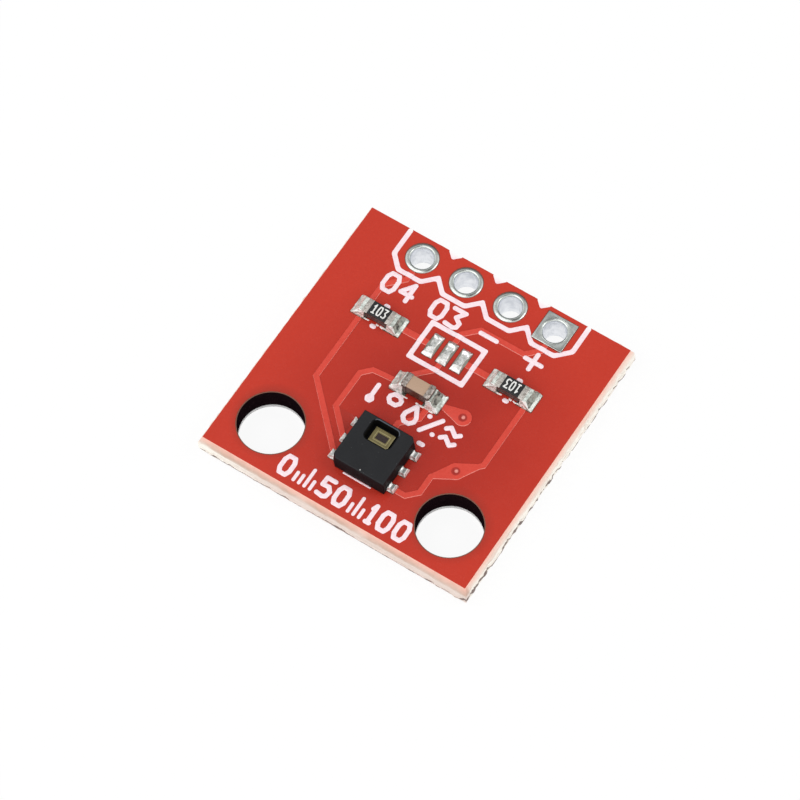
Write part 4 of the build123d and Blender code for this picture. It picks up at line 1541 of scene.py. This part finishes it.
        # painted highlight on the ridges' slopes that face the front
        toward = Vector(self.glint_way)
        piece.paint(
            1,
            lambda centre, normal: centre.z > self.sheet_level + 3 * CLOSE
            and normal.z < 0.97
            and normal.dot(toward) > 0.2
            and max(abs(centre.x), abs(centre.y)) < self.mask_inside,
        )
        piece.settle("solder_mask", "solder_mask_top")

    def buried_copper(self) -> None:
        """Dresses the copper and the underside, which keep their CAD shapes."""
        dress_node("solder_mask_bottom", Finish.UNDERSIDE)
        for node in frame["nodes"]:
            if node.startswith(("track_", "via_")) or node == "ground_pour":
                dress_node(node, Finish.COPPER)

    def build(self) -> None:
        """Builds the board."""
        self.laminate()
        self.mask()
        self.buried_copper()


@dataclass
class HeaderRow:
    """The four plated header holes: three round pads and a square one, in millimetres.

    A lip lists the rings from the bore to the rim: how far each lies out from the bore and down from the
    pad's face.
    """

    names: tuple[str, ...] = ("clock", "data", "ground", "supply")
    pitch: float = 2.54
    y: float = 6.35
    bore_painted_reflection: float = 0.58
    wall: float = 0.04
    pad: float = 0.84
    foot: float = 1.575
    top: float = 1.635
    mouth: float = 0.1
    round_lip: tuple[Point, ...] = (
        (0.0, 0.12),
        (0.006, 0.085),
        (0.02, 0.052),
        (0.04, 0.026),
        (0.065, 0.008),
        (0.09, 0.001),
        (0.11, 0.0),
        (0.135, 0.002),
        (0.165, 0.008),
        (0.195, 0.016),
        (0.222, 0.027),
        (0.245, 0.041),
        (0.26, 0.06),
    )
    square_lip: tuple[Point, ...] = (
        (0.0, 0.12),
        (0.006, 0.085),
        (0.02, 0.05),
        (0.045, 0.022),
        (0.075, 0.004),
        (0.1, 0.0),
        (0.115, 0.012),
    )

    def barrel(self, name: str, x: float, lip: Sequence[Point]) -> Shaper:
        """Turns a barrel with a lip at both ends.

        Args:
            name: the pin's name.
            x: its place along the row in millimetres.
            lip: the lip's rings.

        Returns:
            The barrel.
        """
        upper = [(self.bore_painted_reflection + out, self.top - down) for out, down in lip]
        lower = [(self.bore_painted_reflection + out, down) for out, down in lip]
        outside = [(self.bore_painted_reflection + self.wall, self.foot), (self.bore_painted_reflection + self.wall, self.top - self.foot)]
        rings = upper + outside + lower[::-1]
        return Shaper.turned(f"header_pad_{name}_plating", (x, self.y), rings, 72)

    def round_pad(self, name: str, x: float) -> None:
        """Turns one round pad.

        Args:
            name: the pin's name.
            x: its place along the row in millimetres.
        """
        pad = self.barrel(name, x, self.round_lip)
        pad.smooth(60.0)
        self.finish(pad, name, x)

    def square_pad(self, name: str, x: float) -> None:
        """Rounds the mouth and the rim of the square pad.

        Args:
            name: the pin's name.
            x: its place along the row in millimetres.
        """
        pad = self.barrel(name, x, self.square_lip)
        thick = self.top - self.foot
        for level in (thick / 2, self.foot + thick / 2 - 0.001):
            side = 2 * self.pad
            plate = Shaper.box("plate", (x, self.y, level), (side, side, thick - 0.002))
            plate.cut(Shaper.rod("mouth", (x, self.y, level), self.bore_painted_reflection + self.mouth, 1.0, 72))
            plate.round_all(0.02, 50.0)
            pad.absorb([plate])
        pad.smooth(50.0)
        self.finish(pad, name, x)

    def finish(self, pad: Shaper, name: str, x: float) -> None:
        """Dresses a pad: grey tin on its faces and, down its bore, a lighter copy of the tin, a painted
        reflection of the floor.

        Args:
            pad: the pad.
            name: the pin's name.
            x: its place along the row in millimetres.
        """
        pad.dress(Finish.PAD.material(), Finish.BORE_PAINTED_REFLECTION.material())
        # painted reflection on the walls of the bore
        pad.paint(
            1,
            lambda centre, normal: abs(normal.z) < 0.5
            and math.hypot(centre.x - x, centre.y - self.y) < self.bore_painted_reflection + 0.02,
        )
        pad.settle("tinned_pad", f"header_pad_{name}")

    def build(self) -> None:
        """Builds the four pads."""
        for place, name in enumerate(self.names):
            x = (place - (len(self.names) - 1) / 2) * self.pitch
            if name == "supply":
                self.square_pad(name, x)
            else:
                self.round_pad(name, x)


@dataclass
class SolderFillet:
    """Solder that climbs one end of a chip from its land.

    Sizes are in millimetres. The crest, the shoulder and the hollow are shares of the width, the climb and
    the reach; a lump has a size and a height.
    """

    end: Point
    way: float
    climb: float
    reach: float = 0.58
    width: float = 1.1
    crest: float = 0.72
    thickness: float = 0.07
    under: float = 0.16
    foot: float = 1.585
    hollow: float = 0.86
    hollow_profile: float = 0.2
    toe: float = 0.24
    shoulder: float = 0.35
    grain: float = 0.024
    flow: int = 9
    lump: Point = (0.2, 0.04)

    def build(self, name: str) -> Shaper:
        """Shapes a block into a hollow fillet and lets it flow.

        Args:
            name: the piece's name.

        Returns:
            The fillet.
        """
        x, y = self.end
        inner, outer = x - self.way * self.under, x + self.way * self.reach
        top = self.foot + self.climb
        size = (abs(outer - inner), self.width, self.climb)
        block = Shaper.box(name, ((inner + outer) / 2, y, self.foot + self.climb / 2), size)

        def at_toe(*ends: Vector) -> bool:
            """Tells whether an edge lies on the side away from the chip."""
            return all(abs(end.x - outer) < CLOSE for end in ends)

        block.pick(Kind.EDGES, lambda a, b: at_toe(a, b) and min(a.z, b.z) > top - CLOSE)
        hollow = min(self.climb - self.thickness, self.reach * self.hollow)
        block.bevel(hollow, 8, clamp=False, offset_type="ABSOLUTE", profile=self.hollow_profile)
        block.pick(
            Kind.EDGES,
            lambda a, b: at_toe(a, b) and abs(a.y - b.y) < CLOSE and abs(a.z - b.z) > 10 * CLOSE,
        )
        block.bevel(self.toe, 4)
        block.pick(Kind.VERTS, lambda place: place.z > self.foot + self.climb * self.shoulder)
        block.resize((x, y, 0), 1.0, self.crest, 1.0)
        block.melt(self.grain, self.flow)
        block.roughen(*self.lump)
        block.smooth(80.0)
        return block


def dress_solder(piece: Shaper, level: float) -> Shaper:
    """Dresses a chip's solder: bright, with a painted highlight towards the front and painted shade high on
    the right.

    Args:
        piece: the solder.
        level: where the shade begins, in millimetres.

    Returns:
        The piece.
    """
    looks = (Finish.SOLDER, Finish.SOLDER_SHADE, Finish.SOLDER_GLINT)
    piece.dress(*(finish.material() for finish in looks))
    # painted shade on the high faces that face right
    piece.paint(1, lambda centre, normal: centre.z > level and normal.x > 0.25)
    # painted highlight on the faces that face the front
    return piece.paint(2, lambda centre, normal: normal.y < -0.22 and normal.z > 0.3)


def chip_part(node: str, slot: str, rounding: float, top: Finish, side: Finish) -> None:
    """Rounds a chip's part and dresses its top and its sides.

    Args:
        node: the CAD node.
        slot: its slot in the record.
        rounding: how far its edges are rounded, in millimetres.
        top: the finish of what faces up.
        side: the finish of what faces sideways; for the terminals, a copy with painted shade.
    """
    piece = Shaper.copy_of(node, f"{node}_skin")
    piece.round_all(rounding, 25.0)
    piece.smooth(60.0)
    piece.even_normals()
    piece.dress(top.material(), side.material())
    piece.paint(1, lambda centre, normal: normal.z < 0.45)
    piece.settle(slot, node)


@dataclass
class ChipResistor:
    """A chip resistor with its plated ends, glaze, code and solder."""

    side: str
    x: float
    turned: bool
    y: float = 2.54
    length: float = 1.6
    top: float = 2.105
    climb: float = 0.46
    shade_level: float = 1.77
    code: str = "103"

    def solder(self) -> None:
        """Builds the solder at both ends."""
        ends = [
            SolderFillet((self.x + way * self.length / 2, self.y), way, self.climb).build(f"solder_{way}")
            for way in (-1.0, 1.0)
        ]
        whole = join(f"resistor_{self.side}_fillets", ends)
        dress_solder(whole, self.shade_level).settle("solder", f"resistor_{self.side}_solder")

    def number(self) -> None:
        """Prints the plain number on the glaze."""
        height, pitch, width = 0.48, 0.28, 0.17
        pieces: list[Shaper] = []
        for place, glyph in enumerate(self.code):
            slot = (place - (len(self.code) - 1) / 2) * (-1 if self.turned else 1)
            corner = (self.x + slot * pitch - width / 2, self.y - height / 2)
            for run in glyph_runs(glyph, corner, (width, height), self.turned):
                pieces += Stroke(run, 0.075, self.top - 0.002, 0.008, 10, 0.0006).build()
        gather(f"resistor_{self.side}_number", pieces, Finish.CODE)

    def build(self) -> None:
        """Builds the resistor."""
        name = f"resistor_{self.side}"
        # the ceramic shows at the chip's sides, painted dark as shade
        dress_node(f"{name}_ceramic", Finish.SHADED_ALUMINA)
        # the terminals' sideways faces get painted shade
        chip_part(f"{name}_terminals", "chip_terminal", 0.012, Finish.RESISTOR_END, Finish.SHADED_TERMINAL_SIDE)
        chip_part(f"{name}_glaze", "resistor_glaze", 0.012, Finish.GLAZE, Finish.GLAZE)
        self.solder()
        self.number()


@dataclass
class ChipCapacitor:
    """The decoupling capacitor with its plated ends and solder."""

    x: float = 0.05
    y: float = 0.04
    length: float = 1.6
    shade_level: float = 1.86

    def build(self) -> None:
        """Builds the capacitor."""
        chip_part("capacitor_body", "capacitor_ceramic", 0.022, Finish.CAPACITOR, Finish.CAPACITOR)
        # the terminals' sideways faces get painted shade
        chip_part("capacitor_terminals", "chip_terminal", 0.03, Finish.CAPACITOR_END, Finish.SHADED_TERMINAL_SIDE)
        ends = [
            SolderFillet((self.x + way * self.length / 2, self.y), way, climb).build(f"solder_{side}")
            for side, way, climb in (("left", -1.0, 0.7), ("right", 1.0, 0.62))
        ]
        dress_solder(join("capacitor_fillets", ends), self.shade_level).settle("solder", "capacitor_solder")


@dataclass
class SolderJumper:
    """Three lands side by side, each with a puddle of solder.

    Sizes are in millimetres. Cuts are shares of the length from its middle. A waist is such a share, how
    far it is shifted, and the shares of the width and height that stay there.
    """

    x: float = 0.05
    y: float = 2.56
    pitch: float = 0.8
    width: float = 0.6
    length: float = 1.35
    land: float = 1.61
    sunk: float = 0.025
    height: float = 0.12
    cuts: tuple[float, ...] = (-0.38, -0.22, 0.06, 0.26, 0.4)
    waists: tuple[tuple[float, float, float, float], ...] = (
        (0.06, -0.04, 0.66, 0.8),
        (0.26, 0.0, 0.82, 0.7),
        (-0.22, 0.0, 0.84, 1.0),
    )
    grain: float = 0.022
    flow: int = 6
    lump: Point = (0.22, 0.05)
    glint_front: float = 0.12

    def puddle(self, place: int) -> Shaper:
        """Shapes one puddle, with a waist between its two lobes.

        Args:
            place: -1, 0 or 1.

        Returns:
            The puddle.
        """
        x = self.x + place * self.pitch
        low = self.land - self.sunk
        tall = self.height + self.sunk
        block = Shaper.box("puddle", (x, self.y, low + tall / 2), (self.width, self.length, tall))
        for share in self.cuts:
            block.bisect((x, self.y + self.length * share, 0), (0, 1, 0))
        block.bisect((x, self.y, 0), (1, 0, 0))
        for share, shift, wide, flat in self.waists:
            row = self.y + self.length * share
            block.pick(Kind.VERTS, lambda p: abs(p.y - row) < 0.02)
            block.resize((x + shift, row, low), wide, 1.0, flat)
        block.pick(Kind.VERTS, lambda p: p.z > low + 0.04 and abs(p.x - x) > 0.06)
        block.resize((x, self.y, low), 0.8, 1.0, 0.8)
        block.pick(Kind.VERTS, lambda p: p.z > low + 0.04 and abs(p.y - self.y) > self.length * 0.45)
        block.resize((x, self.y, low), 1.2, 0.96, 0.4)
        block.melt(self.grain, self.flow)
        block.roughen(*self.lump)
        block.smooth(80.0)
        return block

    def build(self) -> None:
        """Builds the three puddles, with a painted highlight on their fronts."""
        whole = join("jumper_puddles", [self.puddle(place) for place in (-1, 0, 1)])
        whole.dress(Finish.PUDDLE.material(), Finish.SOLDER_GLINT.material())
        # painted highlight on the puddles' front faces
        front = self.y - self.glint_front
        whole.paint(1, lambda centre, normal: centre.y < front and normal.y < 0.05 and normal.z > 0.5)
        whole.settle("solder", "jumper_solder")


@dataclass
class HumiditySensor:
    """The sensor package with its window, die, leads and solder, in millimetres."""

    x: float = 0.08
    y: float = -3.90144
    half: float = 1.5
    pitch: float = 1.0
    land: float = 1.61
    sunk: float = 0.025
    top: float = 2.54
    recess_floor: float = 1.9
    recess_margin: float = 0.35
    rim_rounding: float = 0.05
    edge_rounding: float = 0.022
    rim_highlight_way: tuple[float, float, float] = (-0.35, -0.9, 0.3)
    die_window: Point = (0.76, 0.5)
    line_width: float = 0.03
    line_height: float = 0.006
    joint: tuple[float, float, float] = (0.42, 0.5, 0.27)
    grain: float = 0.02
    flow: int = 8
    lump: Point = (0.2, 0.03)

    def body(self) -> None:
        """Softens the package's edges and the window's rim, and paints shade on the sides and in the recess
        and a highlight on the window's back rim.
        """
        piece = Shaper.copy_of("sensor_body", "sensor_package")
        low, high = (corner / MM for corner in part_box("sensor_die_frame"))
        near = self.recess_margin
        face = self.top - CLOSE / 2

        def in_window(place: Vector) -> bool:
            """Tells whether a place is inside the window, under the package's top."""
            return (
                self.recess_floor < place.z < face
                and low.x - near < place.x < high.x + near
                and low.y - near < place.y < high.y + near
            )

        def on_rim(*ends: Vector) -> bool:
            """Tells whether an edge runs round the window's mouth."""
            drop = Vector((0.0, 0.0, 5 * CLOSE))
            return all(end.z > self.top - CLOSE and in_window(end - drop) for end in ends)

        piece.pick(Kind.EDGES, on_rim)
        piece.bevel(self.rim_rounding, 3)
        piece.round_all(self.edge_rounding, 34.0)
        piece.smooth(45.0)
        piece.even_normals()
        looks = (Finish.COMPOUND, Finish.SHADED_COMPOUND_SIDE, Finish.RECESS_SHADE, Finish.RIM_HIGHLIGHT)
        piece.dress(*(finish.material() for finish in looks))
        # painted shade on the sideways faces
        piece.paint(1, lambda centre, normal: normal.z < 0.45)
        # painted shade in the window's recess
        piece.paint(2, lambda centre, normal: in_window(centre))
        # painted highlight on the back rim of the window
        toward = Vector(self.rim_highlight_way)
        piece.paint(
            3,
            lambda centre, normal: in_window(centre)
            and centre.z > self.top - 0.03
            and centre.y > high.y - 0.1
            and normal.dot(toward) > 0.4,
        )
        piece.settle("sensor_epoxy", "sensor_body")

    def die(self) -> None:
        """Dresses the die and lays the pale line round its window."""
        dress_node("sensor_die", Finish.FILM)
        dress_node("sensor_die_frame", Finish.DIE)
        low, high = (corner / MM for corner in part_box("sensor_die_frame"))
        middle = (low + high) / 2
        level, thick, thin = high.z + self.line_height / 3, self.line_height, self.line_width
        line = Shaper.box("die_line", (middle.x, middle.y, level), (*self.die_window, thick))
        line.pick(Kind.FACES, lambda centre, normal: normal.z > 0.9)
        line.inset(thin)
        line.extrude(0.0, 0.0, -thick)
        line.pick(
            Kind.FACES,
            lambda centre, normal: abs(normal.z) > 0.9
            and math.hypot(centre.x - middle.x, centre.y - middle.y) < 0.02,
        )
        line.run(bpy.ops.mesh.delete, type="FACE")
        width, depth = high.x - low.x, high.y - low.y
        for centre, size in (
            ((middle.x, middle.y - depth / 2 + thin), (width - 0.04, thin)),
            ((middle.x + width / 2 - thin, middle.y), (thin, depth - 0.04)),
        ):
            line.absorb([Shaper.box("die_line_edge", (*centre, level), (*size, thick))])
        line.dress(Finish.DIE_LINE.material()).settle("die_metal")

    def blob(self, way: float, row: int) -> Shaper:
        """Shapes the solder on one lead: a narrow neck between the package and a rounded toe.

        Args:
            way: -1 for the left side and 1 for the right.
            row: -1, 0 or 1 from the front.

        Returns:
            The blob.
        """
        length, width, height = self.joint
        low = self.land - self.sunk
        x = self.x + way * (self.half + length / 2 - 0.05)
        y = self.y + row * self.pitch
        block = Shaper.box("blob", (x, y, low + height / 2), (length, width, height))
        block.bisect((x - way * length * 0.08, y, 0), (1, 0, 0))
        block.bisect((x, y, low + height * 0.4), (0, 0, 1))
        block.pick(Kind.VERTS, lambda p: abs(p.x - x) < length * 0.3 and p.z > low + 0.01)
        block.resize((x, y, low), 1.0, 0.66, 0.8)
        block.pick(Kind.VERTS, lambda p: p.z > low + height * 0.6)
        block.resize((x - way * length * 0.2, y, low), 0.72, 0.72, 1.0)
        block.melt(self.grain, self.flow)
        block.roughen(*self.lump)
        block.smooth(80.0)
        return block

    def leads(self) -> None:
        """Dresses the leads and builds the solder on them, with a painted highlight on the left joints."""
        dress_node("sensor_leads", Finish.TERMINAL)
        dress_node("sensor_paddle", Finish.TERMINAL)
        whole = join("sensor_joints", [self.blob(way, row) for way in (-1.0, 1.0) for row in (-1, 0, 1)])
        whole.dress(Finish.JOINT.material(), Finish.SOLDER_GLINT.material())
        # painted highlight on the joints of the left side
        whole.paint(1, lambda centre, normal: centre.x < self.x and normal.z > 0.1)
        whole.settle("solder", "sensor_solder")

    def build(self) -> None:
        """Builds the sensor."""
        self.body()
        self.die()
        self.leads()


@dataclass
class Studio:
    """Floor, soft light and the camera at the photograph's angle.

    Angles are in degrees and the camera's sizes in millimetres. The floor's side and the lamps' distance
    are in metres. The sky is listed as stops from the horizon (0) to straight above (1), with their
    brightness.
    """

    azimuth: float = 35.467
    elevation: float = 63.065
    roll: float = 2.864
    distance: float = 192.569
    focal: float = 180.722
    target: tuple[float, float, float] = (-0.511, -0.754, 1.6)
    floor_size: float = 3.0
    floor_level: float = -0.01
    floor_glow: float = 0.9
    sky: tuple[Point, ...] = ((0.0, 1.0), (0.5, 1.0), (0.75, 0.8), (0.89, 0.6), (0.97, 0.22), (1.0, 0.12))
    behind_way: tuple[float, float, float] = (-0.42, 0.9, 0.0)
    lamp_distance: float = 0.3

    def camera(self) -> None:
        """Places the camera."""
        azimuth, elevation, roll = (math.radians(v) for v in (self.azimuth, self.elevation, self.roll))
        back = Vector(
            (
                math.sin(azimuth) * math.cos(elevation),
                -math.cos(azimuth) * math.cos(elevation),
                math.sin(elevation),
            )
        )
        side = Vector((0, 0, 1)).cross(back).normalized()
        down = side.cross(back)
        right = side * math.cos(roll) + down * math.sin(roll)
        down = down * math.cos(roll) - side * math.sin(roll)
        data = bpy.data.cameras.new("camera")
        data.lens = self.focal
        data.sensor_width = 36.0
        data.clip_start = 0.005
        data.clip_end = 10.0
        camera = bpy.data.objects.new("camera", data)
        bpy.context.scene.collection.objects.link(camera)
        turn = Matrix((right, -down, back)).transposed().to_4x4()
        place = (Vector(self.target) + back * self.distance) * MM
        camera.matrix_world = Matrix.Translation(place) @ turn
        bpy.context.scene.camera = camera

    def floor(self) -> None:
        """Lays the floor: white, with the object's soft shadow, and clear when seen from below."""
        plane = bpy.ops.mesh.primitive_plane_add
        floor = Shaper.add("floor", plane, (0.0, 0.0, self.floor_level), size=self.floor_size)
        graph = NodeGraph("floor")
        graph.set(Base_Color=(1.0, 1.0, 1.0, 1.0), Roughness=0.9, Specular_IOR_Level=0.0)
        glow = graph.nodes.new("ShaderNodeEmission")
        blend = graph.nodes.new("ShaderNodeMixShader")
        path = graph.nodes.new("ShaderNodeLightPath")
        output = graph.nodes["Material Output"]
        seen = path.outputs["Is Camera Ray"]
        for other in ("Is Glossy Ray", "Is Transmission Ray"):
            seen = graph.maths("ADD", seen, path.outputs[other])
        share = graph.maths("MULTIPLY", graph.remap(seen, 0.0, 1.0, 0.0, 1.0), self.floor_glow)
        graph.links.new(share, blend.inputs["Fac"])
        graph.links.new(graph.shader.outputs["BSDF"], blend.inputs[1])
        graph.links.new(glow.outputs["Emission"], blend.inputs[2])
        below = graph.nodes.new("ShaderNodeMixShader")
        graph.links.new(graph.nodes.new("ShaderNodeNewGeometry").outputs["Backfacing"], below.inputs["Fac"])
        graph.links.new(blend.outputs["Shader"], below.inputs[1])
        graph.links.new(graph.nodes.new("ShaderNodeBsdfTransparent").outputs["BSDF"], below.inputs[2])
        graph.links.new(below.outputs["Shader"], output.inputs["Surface"])
        floor.dress(graph.material)

    def world(self) -> None:
        """Lights the scene from all round: white at the horizon, greyer overhead and dim behind the board."""
        world = bpy.data.worlds.new("studio")
        bpy.context.scene.world = world
        world.use_nodes = True
        nodes, links = world.node_tree.nodes, world.node_tree.links
        background = nodes["Background"]
        direction = nodes.new("ShaderNodeTexCoord")
        parts = nodes.new("ShaderNodeSeparateXYZ")
        ramp = nodes.new("ShaderNodeValToRGB")
        links.new(direction.outputs["Generated"], parts.inputs["Vector"])
        links.new(parts.outputs["Z"], ramp.inputs["Fac"])
        for position, level in self.sky:
            index = {0.0: 0, 1.0: -1}.get(position)
            stops = ramp.color_ramp.elements
            stop = stops.new(position) if index is None else stops[index]
            stop.color = (level, level, level, 1.0)
        behind = nodes.new("ShaderNodeVectorMath")
        behind.operation = "DOT_PRODUCT"
        behind.inputs[1].default_value = self.behind_way
        links.new(direction.outputs["Generated"], behind.inputs[0])
        dim = nodes.new("ShaderNodeMapRange")
        for name, number in (("From Min", 0.55), ("From Max", 0.85), ("To Min", 1.0), ("To Max", 0.15)):
            dim.inputs[name].default_value = number
        links.new(behind.outputs["Value"], dim.inputs["Value"])
        shade = nodes.new("ShaderNodeVectorMath")
        shade.operation = "SCALE"
        links.new(ramp.outputs["Color"], shade.inputs[0])
        links.new(dim.outputs["Result"], shade.inputs["Scale"])
        links.new(shade.outputs["Vector"], background.inputs["Color"])

    def lamp(self, name: str, azimuth: float, elevation: float, size: float, power: float) -> None:
        """Adds a softbox that points at the board.

        Args:
            name: the lamp's name.
            azimuth: its direction round the board, in the camera's convention, in degrees.
            elevation: its height above the floor in degrees.
            size: its side in metres.
            power: its power in watts.
        """
        turn, rise = math.radians(azimuth), math.radians(elevation)
        away = Vector((math.sin(turn) * math.cos(rise), -math.cos(turn) * math.cos(rise), math.sin(rise)))
        data = bpy.data.lights.new(name, "AREA")
        data.shape = "SQUARE"
        data.size = size
        data.energy = power
        lamp = bpy.data.objects.new(name, data)
        bpy.context.scene.collection.objects.link(lamp)
        lamp.location = away * self.lamp_distance
        lamp.rotation_euler = away.to_track_quat("Z", "Y").to_euler()

    def build(self) -> None:
        """Sets up the studio."""
        bpy.context.scene.view_settings.view_transform = "Standard"
        self.camera()
        self.floor()
        self.world()
        self.lamp("softbox_front", -40.0, 66.0, 0.28, 0.32)
        self.lamp("softbox_side", 120.0, 50.0, 0.12, 0.1)


def main() -> None:
    """Builds the studio and the module's looks in order."""
    logging.basicConfig(level=logging.INFO, format="%(name)s: %(message)s")
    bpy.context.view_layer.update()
    Shaper.clear()
    Studio().build()
    Board().build()
    HeaderRow().build()
    Printing().build()
    ChipResistor("left", -3.8, turned=False).build()
    ChipResistor("right", 3.79, turned=True).build()
    ChipCapacitor().build()
    SolderJumper().build()
    HumiditySensor().build()
    LOG.info("boxes written")


if __name__ == "__main__":
    main()
